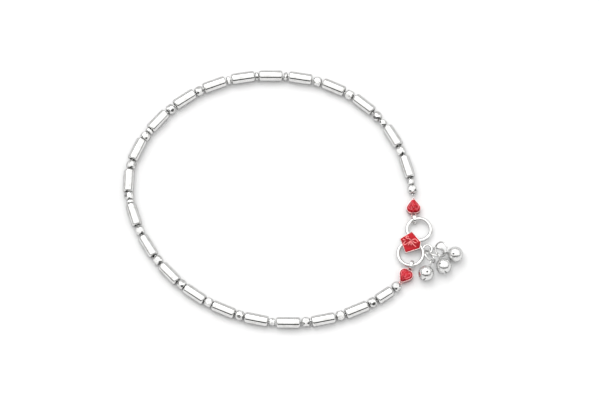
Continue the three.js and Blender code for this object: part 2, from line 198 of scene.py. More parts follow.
@dataclass(frozen=True)
class SilverFinish:
    """Polished silver plate with faint handling marks and a trace of tarnish.

    Attributes:
        name: the material's name.
        bright: the colour of clean metal, linear.
        dull: the colour where it has tarnished a little.
        edge: a dark tint on what it reflects at a shallow angle, painted shade that darkens the
            rims.
        gloss: the lowest and highest roughness.
        smudge_mm: the size of the dull patches.
        dent_mm: the size of the soft unevenness left by polishing.
        dent_depth_mm: the depth of that unevenness.
    """

    name: str
    bright: Colour = (0.73, 0.73, 0.725)
    dull: Colour = (0.62, 0.615, 0.6)
    edge: Colour = (0.35, 0.35, 0.35)
    gloss: tuple[float, float] = (0.03, 0.11)
    smudge_mm: float = 1.4
    dent_mm: float = 1.1
    dent_depth_mm: float = 0.012

    def make(self) -> Material:
        """Makes the material.

        Returns:
            The new material.
        """
        sheet = NodeSheet(self.name)
        # The edge tint is painted shade: it darkens what the metal reflects at its rims.
        sheet.set_shader(metallic=1.0, specular_ior_level=0.5, specular_tint=(*self.edge, 1))
        patches = sheet.spread(sheet.noise(self.smudge_mm, 4), (0.45, 0.75), (0, 1))
        sheet.plug(sheet.blend(patches, self.bright, self.dull), "Base Color")
        fine = sheet.noise(self.smudge_mm / 5, 5)
        sheet.plug(sheet.spread(fine, (0.35, 0.7), self.gloss), "Roughness")
        sheet.relief(sheet.noise(self.dent_mm, 2), self.dent_depth_mm, 0.6)
        return sheet.material


@dataclass(frozen=True)
class EnamelFinish:
    """Glassy red enamel over a worked ground, with paler specks where the metal is near.

    Attributes:
        name: the material's name.
        deep: the colour where the enamel is thick, linear.
        body: its main colour.
        speck: the colour where the ground shows through.
        speck_mm: the size of the specks.
        speck_share: how readily the specks show, 0 to 1.
        cloud_mm: the size of the slow change from deep to body colour.
    """

    name: str
    deep: Colour = (0.24, 0.002, 0.005)
    body: Colour = (0.48, 0.006, 0.014)
    speck: Colour = (0.78, 0.14, 0.19)
    speck_mm: float = 0.42
    speck_share: float = 0.45
    cloud_mm: float = 2.6

    def make(self) -> Material:
        """Makes the material.

        Returns:
            The new material.
        """
        sheet = NodeSheet(self.name)
        sheet.set_shader(roughness=0.25, specular_ior_level=0.12)
        cloud = sheet.spread(sheet.noise(self.cloud_mm, 2), (0.35, 0.65), (0, 1))
        ground = sheet.blend(cloud, self.deep, self.body)
        cells = sheet.cells(self.speck_mm)
        specks = sheet.spread(cells, (0.5, 0.15), (0, self.speck_share))
        sheet.plug(sheet.blend(specks, ground, self.speck), "Base Color")
        sheet.relief(sheet.noise(self.speck_mm, 3), 0.03, 0.5)
        return sheet.material


@dataclass(frozen=True)
class WashFinish:
    """Silver relief lines with a thin wash of red enamel over them.

    Attributes:
        name: the material's name.
        pale: the colour on the crowns of the lines, linear.
        rosy: the colour where the wash lies thicker.
    """

    name: str
    pale: Colour = (1.0, 0.36, 0.34)
    rosy: Colour = (0.92, 0.2, 0.21)

    def make(self) -> Material:
        """Makes the material.

        Returns:
            The new material.
        """
        sheet = NodeSheet(self.name)
        sheet.set_shader(metallic=0.25, roughness=0.3, coat_weight=0.6, coat_roughness=0.08)
        patches = sheet.spread(sheet.noise(0.5, 3), (0.4, 0.65), (0, 1))
        sheet.plug(sheet.blend(patches, self.pale, self.rosy), "Base Color")
        sheet.relief(sheet.noise(0.25, 2), 0.01, 0.4)
        return sheet.material


@dataclass(frozen=True)
class TableFinish:
    """A plain pale table top with a faint unevenness.

    Attributes:
        name: the material's name.
        pale: the lighter colour, linear.
        shade: the darker colour.
    """

    name: str = "pale_table"
    pale: Colour = (0.8, 0.8, 0.8)
    shade: Colour = (0.785, 0.785, 0.79)

    def make(self) -> Material:
        """Makes the material.

        Returns:
            The new material.
        """
        sheet = NodeSheet(self.name)
        sheet.set_shader(roughness=0.9, specular_ior_level=0.1)
        patches = sheet.noise(60, 3)
        sheet.plug(sheet.blend(patches, self.pale, self.shade), "Base Color")
        return sheet.material


@dataclass
class Finishes:
    """Every finish on the anklet, each made once.

    Attributes:
        tube: the tube beads' silver.
        cut: the faceted spacer beads' silver.
        wire: the silver of the chain, the links, the hook and the jump rings.
        bell: the bells' silver, a little softer.
        plate_frame: the tray's silver, tinted a little pink.
        heart_frame: the hearts' bands, with more red in them.
        plate: the plate's enamel.
        heart: the hearts' enamel.
        wash: the raised lines on the plate.
        scroll: the raised scrolls on the hearts.
    """

    tube: Material = field(init=False)
    cut: Material = field(init=False)
    wire: Material = field(init=False)
    bell: Material = field(init=False)
    plate_frame: Material = field(init=False)
    heart_frame: Material = field(init=False)
    plate: Material = field(init=False)
    heart: Material = field(init=False)
    wash: Material = field(init=False)
    scroll: Material = field(init=False)

    def __post_init__(self) -> None:
        """Makes every material."""
        self.tube = SilverFinish("polished_silver_tubes").make()
        self.cut = SilverFinish("cut_silver_beads", gloss=(0.1, 0.24), smudge_mm=0.6).make()
        self.wire = SilverFinish("drawn_silver_wire", gloss=(0.05, 0.16), dent_mm=0.7).make()
        self.bell = SilverFinish(
            "bell_silver",
            bright=(0.76, 0.76, 0.755),
            dull=(0.7, 0.7, 0.69),
            # A lighter edge tint: painted shade at the bells' rims.
            edge=(0.5, 0.5, 0.5),
            gloss=(0.24, 0.32),
            dent_depth_mm=0.006,
        ).make()
        self.plate_frame = SilverFinish(
            "enamel_frame_silver",
            bright=(0.8, 0.68, 0.66),
            dull=(0.74, 0.5, 0.48),
            gloss=(0.06, 0.18),
            smudge_mm=0.5,
        ).make()
        self.heart_frame = SilverFinish(
            "heart_rim_silver",
            bright=(0.82, 0.56, 0.55),
            dull=(0.7, 0.2, 0.22),
            gloss=(0.1, 0.22),
            smudge_mm=0.5,
        ).make()
        self.plate = EnamelFinish("plate_red_enamel", speck_share=0.1, speck_mm=0.35).make()
        self.heart = EnamelFinish(
            "heart_red_enamel", speck_share=0.6, speck_mm=0.34, cloud_mm=1.0
        ).make()
        self.wash = WashFinish("rose_washed_silver").make()
        self.scroll = WashFinish(
            "ruby_washed_silver", pale=(0.82, 0.17, 0.2), rosy=(0.62, 0.05, 0.07)
        ).make()


# ---- Shaping -------------------------------------------------------------------------


def only(geom: Sequence, kind: type) -> list:
    """Picks out one kind of element from an operator's result."""
    return [element for element in geom if isinstance(element, kind)]


def arc(middle: Point, radius: float, start: float, end: float, steps: int) -> list[Point]:
    """Points along part of a circle.

    Args:
        middle: the circle's middle.
        radius: its radius.
        start: the first angle, in degrees.
        end: the last angle, in degrees.
        steps: how many steps there are between the two.

    Returns:
        The points, from start to end.
    """
    points = []
    for step in range(steps + 1):
        angle = math.radians(start + (end - start) * step / steps)
        points.append((middle[0] + radius * math.cos(angle), middle[1] + radius * math.sin(angle)))
    return points


def revolve(profile: Sequence[Point], steps: int) -> BMesh:
    """Spins a closed profile once round the Z axis.

    Args:
        profile: the profile's points, as radius and height.
        steps: how many steps a full turn has.

    Returns:
        The closed shape.
    """
    bm = bmesh.new()
    verts = [bm.verts.new((radius, 0, height)) for radius, height in profile]
    edges = [bm.edges.new(pair) for pair in zip(verts, verts[1:] + verts[:1])]
    bmesh.ops.spin(
        bm,
        geom=verts + edges,
        cent=(0, 0, 0),
        axis=Z_AXIS,
        angle=FULL_TURN,
        steps=steps,
        use_merge=True,
    )
    bmesh.ops.remove_doubles(bm, verts=bm.verts, dist=WELD)
    bmesh.ops.recalc_face_normals(bm, faces=bm.faces)
    return bm


def outline_face(bm: BMesh, outline: Sequence[Point], height: float) -> BMFace:
    """Adds one flat face with the given outline.

    Args:
        bm: the mesh to add it to.
        outline: its corners in plan, anticlockwise.
        height: its height.

    Returns:
        The new face.
    """
    face = bm.faces.new([bm.verts.new((x, y, height)) for x, y in outline])
    face.normal_update()
    return face


def raise_face(bm: BMesh, faces: Sequence[BMFace], rise: float) -> list[BMFace]:
    """Extrudes faces straight up or down, keeping the old ones as the foot.

    Args:
        bm: the mesh that holds them.
        faces: the faces to extrude.
        rise: how far, along Z.

    Returns:
        The moved faces.
    """
    result = bmesh.ops.extrude_face_region(bm, geom=list(faces), use_keep_orig=True)
    bmesh.ops.translate(bm, vec=(0, 0, rise), verts=only(result["geom"], BMVert))
    return only(result["geom"], BMFace)


def ease_edges(
    bm: BMesh, chosen: Callable[[BMEdge], bool], width: float, segments: int
) -> None:
    """Rounds off the chosen edges.

    Args:
        bm: the mesh that holds them.
        chosen: says whether an edge is rounded.
        width: the width of the rounding.
        segments: how many faces it is made of.
    """
    bmesh.ops.bevel(
        bm,
        geom=[edge for edge in bm.edges if chosen(edge)],
        offset=width,
        offset_type="OFFSET",
        affect="EDGES",
        segments=segments,
        profile=0.5,
        material=-1,
        clamp_overlap=True,
    )


def sharp_edge(edge: BMEdge) -> bool:
    """Says whether an edge turns by more than 50 degrees."""
    return len(edge.link_faces) == 2 and edge.calc_face_angle(0) > math.radians(50)


def turned_to(direction: Vector) -> Matrix:
    """The turn that takes the Z axis to a direction."""
    return Z_AXIS.rotation_difference(direction).to_matrix().to_4x4()


class Wire:
    """A round wire drawn out step by step from a flat end."""

    def __init__(self, start: Vector, heading: Vector, radius: float, sides: int) -> None:
        """Starts the wire.

        Args:
            start: the middle of its first end.
            heading: the direction that it sets out in.
            radius: half its thickness.
            sides: how many sides its section has.
        """
        self.bm = bmesh.new()
        self.radius = radius
        self.at = start.copy()
        self.heading = heading.normalized()
        turn = Matrix.Translation(start) @ turned_to(self.heading)
        bmesh.ops.create_circle(self.bm, cap_ends=False, radius=radius, segments=sides, matrix=turn)
        self.first = list(self.bm.edges)
        self.front = list(self.bm.edges)

    def bend(self, centre: Vector, angle: float, steps: int, axis: Vector = Z_AXIS) -> "Wire":
        """Draws the wire on round a centre.

        Args:
            centre: the middle of the bend.
            angle: how far it turns, in degrees, anticlockwise about the axis.
            steps: how many steps it takes.
            axis: the line that it turns about.

        Returns:
            The wire itself.
        """
        geom = self.front + list({vert for edge in self.front for vert in edge.verts})
        turn = math.radians(angle)
        result = bmesh.ops.spin(self.bm, geom=geom, cent=centre, axis=axis, angle=turn, steps=steps)
        self.front = only(result["geom_last"], BMEdge)
        rotation = Matrix.Rotation(turn, 3, axis)
        self.at = centre + rotation @ (self.at - centre)
        self.heading = rotation @ self.heading
        return self

    def reach(self, target: Vector, heading: Vector | None = None, scale: float = 1.0) -> "Wire":
        """Draws the wire straight on to a point.

        Args:
            target: where the wire's middle goes.
            heading: the direction that its section faces there, if it turns.
            scale: how much thicker or thinner it gets.

        Returns:
            The wire itself.
        """
        result = bmesh.ops.extrude_edge_only(self.bm, edges=self.front)
        verts = only(result["geom"], BMVert)
        self.front = only(result["geom"], BMEdge)
        bmesh.ops.translate(self.bm, vec=target - self.at, verts=verts)
        self.at = target.copy()
        if heading is not None:
            turn = self.heading.rotation_difference(heading).to_matrix()
            bmesh.ops.rotate(self.bm, cent=target, matrix=turn, verts=verts)
            self.heading = heading.normalized()
        if scale != 1.0:
            space = Matrix.Translation(-target)
            bmesh.ops.scale(self.bm, vec=(scale, scale, scale), space=space, verts=verts)
        self.front = [edge for edge in self.front if all(vert in verts for vert in edge.verts)]
        return self

    def cap(self, rounding: float = 0.5) -> BMesh:
        """Closes both ends with a rounded face.

        Args:
            rounding: the width of the rounding, as a share of the radius.

        Returns:
            The finished mesh.
        """
        ends = set(self.first) | set(self.front)
        for loop in (self.first, self.front):
            bmesh.ops.contextual_create(self.bm, geom=loop)
        bmesh.ops.recalc_face_normals(self.bm, faces=self.bm.faces)
        ease_edges(self.bm, lambda edge: edge in ends, self.radius * rounding, 3)
        return self.bm


def closed_ring(radius: float, wire: float, steps: int, sides: int) -> BMesh:
    """A closed ring of round wire, flat on the XY plane.

    Args:
        radius: the radius of the wire's middle line.
        wire: half the wire's thickness.
        steps: how many steps round the ring.
        sides: how many sides round the wire.

    Returns:
        The ring.
    """
    return revolve(arc((radius, 0), wire, 0, 360 - 360 / sides, sides - 1), steps)


def flat_ring(radius: float, section: tuple[float, float], steps: int) -> BMesh:
    """A ring of flat band with rounded edges, flat on the XY plane.

    Args:
        radius: the radius of the band's middle line.
        section: half the band's thickness, outwards, and half its width, along Z.
        steps: how many steps round the ring.

    Returns:
        The ring.
    """
    thick, wide = section
    ease = min(thick, wide) * 0.8
    corners = ((thick, wide, 0), (-thick, wide, 90), (-thick, -wide, 180), (thick, -wide, 270))
    profile = []
    for out, up, start in corners:
        middle = (radius + math.copysign(abs(out) - ease, out), math.copysign(abs(up) - ease, up))
        profile.extend(arc(middle, ease, start, start + 90, 4))
    return revolve(profile, steps)


def cut_ring(radius: float, wire: float, gap: float, steps: int, sides: int) -> BMesh:
    """A ring bent from a length of wire, whose two ends nearly meet.

    Args:
        radius: the radius of the wire's middle line.
        wire: half the wire's thickness.
        gap: the angle between the two ends, in degrees.
        steps: how many steps round the ring.
        sides: how many sides round the wire.

    Returns:
        The ring, flat on the XY plane, with its ends beside the X axis.
    """
    drawn = Wire(Vector((radius, 0, 0)), Vector((0, 1, 0)), wire, sides)
    drawn.bend(Vector((0, 0, 0)), 360 - gap, steps)
    bm = drawn.cap(rounding=0.3)
    half_gap = Matrix.Rotation(math.radians(gap / 2), 3, "Z")
    bmesh.ops.rotate(bm, cent=(0, 0, 0), matrix=half_gap, verts=bm.verts)
    return bm


def smooth_line(points: Line, steps: int) -> list[Point]:
    """A smooth line through points.

    Args:
        points: the points that it passes through.
        steps: how many steps there are between two of them.

    Returns:
        The points along the line.
    """
    padded = [points[0], *points, points[-1]]
    line = []
    for before, start, end, after in zip(padded, padded[1:], padded[2:], padded[3:]):
        for step in range(steps):
            t = step / steps
            weights = (
                -0.5 * t + t**2 - 0.5 * t**3,
                1 - 2.5 * t**2 + 1.5 * t**3,
                0.5 * t + 2 * t**2 - 1.5 * t**3,
                -0.5 * t**2 + 0.5 * t**3,
            )
            corners = (before, start, end, after)
            x = sum(weight * corner[0] for weight, corner in zip(weights, corners))
            y = sum(weight * corner[1] for weight, corner in zip(weights, corners))
            line.append((x, y))
    return [*line, points[-1]]


def raised_line(points: Line, height: float, radius: float) -> BMesh:
    """A raised line that swells in its middle and thins to rounded ends.

    Args:
        points: the points that it passes through, in plan.
        height: the height of its middle.
        radius: half its greatest thickness.

    Returns:
        The line's mesh.
    """
    line = [Vector((x, y, height)) for x, y in smooth_line(points, 4)]
    at_end = 0.6
    drawn = Wire(line[0], line[1] - line[0], radius * at_end, 8)
    thickness = at_end
    count = len(line) - 1
    for index in range(1, count + 1):
        heading = line[min(index + 1, count)] - line[index - 1]
        wanted = at_end + (1 - at_end) * math.sin(math.pi * index / count)
        drawn.reach(line[index], heading, wanted / thickness)
        thickness = wanted
    return drawn.cap(rounding=0.4)


def gather(bm: BMesh, part: BMesh, place: Matrix | None = None, keep: bool = False) -> None:
    """Adds one mesh to another.

    Args:
        bm: the mesh that grows.
        part: the mesh that is added.
        place: where it is put.
        keep: whether the added mesh is kept for another use.
    """
    mesh = bpy.data.meshes.new("part")
    part.to_mesh(mesh)
    if place is not None:
        mesh.transform(place)
    bm.from_mesh(mesh)
    bpy.data.meshes.remove(mesh)
    if not keep:
        part.free()


def make_piece(
    name: str,
    bm: BMesh,
    finish: Material,
    stands_for: Sequence[str] = (),
    crease: float = 40,
) -> Object:
    """Makes a mesh in millimetres into a piece of the anklet.

    Args:
        name: the piece's name.
        bm: its mesh, in place, which is used up.
        finish: its material.
        stands_for: the nodes of the frame that it replaces.
        crease: the angle past which an edge is shown sharp, in degrees.

    Returns:
        The new object.
    """
    bmesh.ops.scale(bm, vec=(MM, MM, MM), verts=bm.verts)
    mesh = bpy.data.meshes.new(name)
    bm.to_mesh(mesh)
    bm.free()
    mesh.materials.append(finish)
    mesh.shade_smooth()
    mesh.set_sharp_from_angle(angle=math.radians(crease))
    piece = bpy.data.objects.new(name, mesh)
    bpy.context.scene.collection.objects.link(piece)
    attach(piece, BODY)
    if stands_for:
        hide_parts(*stands_for)
    LOG.info("made %s: %d faces", name, len(mesh.polygons))
    return piece


def node_middle(node: str) -> Vector:
    """The middle of a node's box, in millimetres."""
    low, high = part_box(node)
    return (Vector(low) + Vector(high)) / (2 * MM)


def ahead(angle: float, reach: float = 1.0) -> Vector:
    """A flat vector at an angle in degrees, with a length."""
    return Vector((reach * math.cos(math.radians(angle)), reach * math.sin(math.radians(angle)), 0))


def aimed(azimuth: float, lift: float) -> Vector:
    """A unit vector from an azimuth and a lift above the plan, in degrees."""
    return ahead(azimuth, math.cos(math.radians(lift))) + Z_AXIS * math.sin(math.radians(lift))


# ---- The thread ----------------------------------------------------------------------


@dataclass(frozen=True)
class Arc:
    """One arc of the thread's way.

    Attributes:
        radius: its radius.
        turn: how far it turns to the left, in degrees.
    """

    radius: float
    turn: float

    @property
    def length(self) -> float:
        """The arc's length."""
        return self.radius * math.radians(self.turn)


@dataclass
class Thread:
    """The thread's way round the anklet: arcs that run into each other.

    Attributes:
        start: where it begins, in plan.
        heading: the direction that it sets out in, in degrees.
        arcs: the arcs, in order.
        height: the height of the beads' middle line.
        end_height: the height of its two ends, at the hearts.
        lead: the length over which it drops to an end.
    """

    start: Point = (34.284, 0.026)
    heading: float = 94.535
    arcs: tuple[Arc, ...] = (
        Arc(47.5, 19.165),
        Arc(37.0, 56.0),
        Arc(53.9, 16.0),
        Arc(40.4, 57.0),
        Arc(25.5, 40.0),
        Arc(46.5, 118.71),
    )
    height: float = 1.55
    end_height: float = 1.35
    lead: float = 1.5

    @property
    def length(self) -> float:
        """The whole length of the thread."""
        return sum(piece.length for piece in self.arcs)

    def pose(self, distance: float) -> tuple[Vector, float]:
        """Where the thread is at a distance along it.

        Args:
            distance: the distance from its start.

        Returns:
            The point, at the beads' height, and the heading in radians.
        """
        x, y = self.start
        heading = math.radians(self.heading)
        left = distance
        for index, piece in enumerate(self.arcs):
            last = index == len(self.arcs) - 1
            step = left if last else min(left, piece.length)
            end = heading + step / piece.radius
            x += piece.radius * (math.sin(end) - math.sin(heading))
            y -= piece.radius * (math.cos(end) - math.cos(heading))
            heading = end
            left -= step
            if left <= 0:
                break
        return Vector((x, y, self.height)), heading

    def place(self, distance: float, roll: float = 0.0) -> Matrix:
        """The placement that lays a shape made round the Z axis on the thread.

        Args:
            distance: the distance from the thread's start.
            roll: a turn about the thread, in degrees.

        Returns:
            The placement.
        """
        point, heading = self.pose(distance)
        from_end = min(distance, self.length - distance) / self.lead
        rise = min(max(from_end, 0), 1)
        rise = rise * rise * (3 - 2 * rise)
        point.z = self.end_height + (self.height - self.end_height) * rise
        along = Matrix.Rotation(heading, 4, "Z") @ Matrix.Rotation(math.pi / 2, 4, "Y")
        return Matrix.Translation(point) @ along @ Matrix.Rotation(math.radians(roll), 4, "Z")


class Spacer(Enum):
    """The kinds of spacer bead: length along the thread and radius, in millimetres."""

    BALL = (2.35, 1.42)
    SMALL = (1.65, 1.05)
    DISC = (1.1, 1.2)

    @property
    def length(self) -> float:
        """The bead's length along the thread."""
        return self.value[0]

    @property
    def radius(self) -> float:
        """The bead's greatest radius."""
        return self.value[1]


@dataclass
class Threading:
    """The order of the beads on the thread and the room that each takes up.

    Attributes:
        rows: for each tube bead, the spacers before it and the gap that they fill.
        tube_length: the length of a tube bead.
        last_tube_length: the length of the last one, which is shorter.
        last_spacer: the spacer after the last tube.
        last_spacer_to_end: how far its middle is from the thread's end.
        tubes_per_run: how many tubes there are between two partings of the thread.
        gap: how far apart neighbouring lengths of thread stay, and the first spacers.
        end_room: how far each end of the thread stops short of its eye's middle.
    """

    rows: tuple[tuple[tuple[Spacer, ...], float], ...] = (
        ((Spacer.BALL, Spacer.SMALL), 6.225),
        ((Spacer.BALL,), 3.61),
        ((Spacer.SMALL, Spacer.BALL), 6.18),
        ((Spacer.BALL,), 3.48),
        ((Spacer.BALL,), 3.32),
        ((Spacer.DISC,), 1.86),
        ((Spacer.DISC,), 1.3),
        ((Spacer.DISC,), 1.77),
        ((Spacer.BALL,), 2.98),
        ((Spacer.BALL,), 3.44),
        ((Spacer.DISC, Spacer.BALL), 3.95),
        ((Spacer.BALL,), 3.26),
        ((Spacer.BALL, Spacer.DISC), 3.87),
        ((Spacer.BALL,), 3.71),
        ((Spacer.BALL,), 3.58),
        ((Spacer.BALL,), 2.8),
        ((Spacer.BALL,), 2.67),
        ((Spacer.BALL,), 3.0),
        ((Spacer.SMALL,), 2.29),
        ((Spacer.BALL,), 3.19),
        ((Spacer.BALL,), 3.13),
        ((Spacer.BALL,), 3.1),
    )
    tube_length: float = 6.7
    last_tube_length: float = 5.0
    last_spacer: Spacer = Spacer.BALL
    last_spacer_to_end: float = 1.27
    tubes_per_run: int = 4
    gap: float = 0.3
    end_room: float = 0.44

    def lay_out(self, length: float) -> tuple[list[Point], list[tuple[Spacer, float]]]:
        """Works out where each bead sits.

        Args:
            length: the thread's length.

        Returns:
            The tubes, as length and distance along the thread, and the spacers, as kind
            and distance.
        """
        tubes: list[Point] = []
        spacers: list[tuple[Spacer, float]] = []
        at = 0.0
        for index, (kinds, gap) in enumerate(self.rows):
            # The first spacers lie close to the first tube, the others evenly in their gap.
            taken = sum(kind.length for kind in kinds)
            slack = (gap - taken) / (len(kinds) + 1)
            start = at + (slack if index else gap - taken - 3 * self.gap)
            step = slack if index else self.gap
            for kind in kinds:
                spacers.append((kind, start + kind.length / 2))
                start += kind.length + step
            long = self.last_tube_length if index == len(self.rows) - 1 else self.tube_length
            tubes.append((long, at + gap + long / 2))
            at += gap + long
        spacers.append((self.last_spacer, length - self.last_spacer_to_end))
        return tubes, spacers

    def runs(self, length: float) -> list[tuple[float, float]]:
        """The lengths of thread between its partings.

        Args:
            length: the thread's length.

        Returns:
            Each run's start and end, as distances along the thread.
        """
        tubes, _ = self.lay_out(length)
        partings = [at for _, at in tubes[self.tubes_per_run - 1 :: self.tubes_per_run]]
        starts = [self.end_room, *(at + self.gap / 2 for at in partings)]
        ends = [*(at - self.gap / 2 for at in partings), length - self.end_room]
        return list(zip(starts, ends))


@dataclass
class TubeBeads:
    """The long beads: thin drawn tubes whose ends are rolled in to a small mouth.

    Attributes:
        radius: the outer radius.
        wall: the wall's thickness.
        mouth: the radius of the hole at each end.
        shoulder: the radius of the rounded end.
        steps: how many steps round the bead.
    """

    radius: float = 1.55
    wall: float = 0.3
    mouth: float = 0.78
    shoulder: float = 0.52
    steps: int = 48

    def profile(self, length: float) -> list[Point]:
        """The bead's section.

        Args:
            length: the bead's length.

        Returns:
            The closed section, as radius and height.
        """
        half = length / 2
        lip = self.wall / 2
        shoulder_middle = (self.radius - self.shoulder, -half + self.shoulder)
        low_outer = arc(shoulder_middle, self.shoulder, -90, 0, 6)
        low_inner = arc(shoulder_middle, self.shoulder - self.wall, 0, -90, 4)
        low_lip = arc((self.mouth + lip, -half + lip), lip, 90, 270, 6)
        bottom = [*low_inner, *low_lip, *low_outer]
        top = [(radius, -height) for radius, height in reversed(bottom)]
        return [*bottom, *top]

    def build(self, thread: Thread, threading: Threading, finishes: Finishes) -> None:
        """Makes every tube bead.

        Args:
            thread: the thread that they lie on.
            threading: the order of the beads.
            finishes: the finishes to dress them in.
        """
        tubes, _ = threading.lay_out(thread.length)
        for index, (length, at) in enumerate(tubes):
            bm = revolve(self.profile(length), self.steps)
            node = f"tube_bead_{index + 1:02d}"
            place = thread.place(at)
            place.translation = node_middle(node)
            bmesh.ops.transform(bm, matrix=place, verts=bm.verts)
            make_piece(f"rolled_tube_{index + 1:02d}", bm, finishes.tube, [node])


@dataclass
class SpacerBeads:
    """The short beads between the tubes, turned and then cut with bright facets.

    Attributes:
        hole: the radius of the hole for the thread.
        collar: the radius of the flat round each hole.
        facets: how many facets there are in one row.
        roll: how far each bead is turned from the one before, in degrees.
    """

    hole: float = 0.5
    collar: float = 0.78
    facets: int = 10
    roll: float = 11.0

    def cut_bead(self, kind: Spacer) -> BMesh:
        """One bead, round the Z axis.

        Args:
            kind: which bead it is.

        Returns:
            The bead's mesh.
        """
        half = kind.length / 2
        swell = kind.radius - self.collar
        rows = [(-0.9, 0.45), (-0.6, 0.86), (-0.2, 1.0), (0.2, 1.0), (0.6, 0.86), (0.9, 0.45)]
        outer = [(self.collar + swell * out, half * up) for up, out in rows]
        foot = [(self.hole, -half), (self.collar, -half)]
        head = [(self.collar, half), (self.hole, half)]
        section = [*foot, *outer, *head]
        bm = revolve(section, self.facets)
        half_step = Matrix.Rotation(math.pi / self.facets, 3, "Z")
        for height in (rows[1][0] * half, rows[4][0] * half):
            row = [vert for vert in bm.verts if abs(vert.co.z - height) < WELD]
            bmesh.ops.rotate(bm, cent=(0, 0, 0), matrix=half_step, verts=row)
        twisted = [face for face in bm.faces if len(face.verts) == 4 and not is_flat(face)]
        bmesh.ops.triangulate(bm, faces=twisted)
        bmesh.ops.recalc_face_normals(bm, faces=bm.faces)
        return bm

    def build(self, thread: Thread, threading: Threading, finishes: Finishes) -> None:
        """Makes the spacers of every run of thread.

        Args:
            thread: the thread that they lie on.
            threading: the order of the beads.
            finishes: the finishes to dress them in.
        """
        patterns = {kind: self.cut_bead(kind) for kind in Spacer}
        _, spacers = threading.lay_out(thread.length)
        for index, (start, end) in enumerate(threading.runs(thread.length)):
            bm = bmesh.new()
            for number, (kind, at) in enumerate(spacers):
                if start < at < end:
                    gather(bm, patterns[kind], thread.place(at, self.roll * number), keep=True)
            name = f"cut_spacers_{index + 1}"
            node = f"spacer_run_{index + 1}"
            make_piece(name, bm, finishes.cut, [node], CUT_CREASE)


def is_flat(face: BMFace) -> bool:
    """Says whether a face's corners all lie in one plane."""
    middle = face.calc_center_median()
    return all(abs((vert.co - middle).dot(face.normal)) < WELD for vert in face.verts)


@dataclass
class CableChain:
    """The fine chain that the beads are threaded on: oval links, each turned a quarter.

    Attributes:
        wire: half the wire's thickness.
        width: a link's width outside.
        length: a link's length outside.
        steps: how many steps round a link.
        sides: how many sides round the wire.
        eye_radius: the radius of the round link at each end of the anklet.
    """

    wire: float = 0.115
    width: float = 0.84
    length: float = 1.3
    steps: int = 10
    sides: int = 5
    eye_radius: float = 0.42

    def link(self) -> BMesh:
        """One link, lying along Z in the XZ plane.

        Returns:
            The link's mesh.
        """
        bm = closed_ring(self.width / 2 - self.wire, self.wire, self.steps, self.sides)
        stretch = (self.length - self.width) / 2
        # The steps start on the X axis, so a half step keeps every corner off the Y axis.
        half_step = Matrix.Rotation(math.pi / self.steps, 3, "Z")
        bmesh.ops.rotate(bm, cent=(0, 0, 0), matrix=half_step, verts=bm.verts)
        for side in (-1, 1):
            half = [vert for vert in bm.verts if vert.co.x * side > 0]
            bmesh.ops.translate(bm, vec=(side * stretch, 0, 0), verts=half)
        upright = Matrix.Rotation(math.pi / 2, 3, "Y")
        bmesh.ops.rotate(bm, cent=(0, 0, 0), matrix=upright, verts=bm.verts)
        return bm

    def build(
        self, thread: Thread, threading: Threading, hearts: "Hearts", finishes: Finishes
    ) -> None:
        """Makes the chain, run by run.

        Args:
            thread: the way that it takes.
            threading: where its runs part.
            hearts: the hearts that it ends at.
            finishes: the finishes to dress it in.
        """
        pattern = self.link()
        pitch = self.length - 4 * self.wire
        runs = threading.runs(thread.length)
        ends = {0: hearts.first, len(runs) - 1: hearts.second}
        for index, (start, end) in enumerate(runs):
            bm = bmesh.new()
            room = end - start - self.length
            count = round(room / pitch)
            for number in range(count + 1):
                at = start + self.length / 2 + room * number / count
                gather(bm, pattern, thread.place(at, roll=45 + 90 * (number % 2)), keep=True)
            if index in ends:
                heart = ends[index]
                eye = closed_ring(self.eye_radius, self.wire, 20, 8)
                place = Matrix.Translation(heart.thread_end) @ turned_to(ahead(heart.to_hook + 90))
                gather(bm, eye, place)
            name = f"cable_chain_{index + 1}"
            node = f"spacer_run_{index + 1}"
            make_piece(name, bm, finishes.wire, [node], WIRE_CREASE)


# ---- Hook and plate ------------------------------------------------------------------


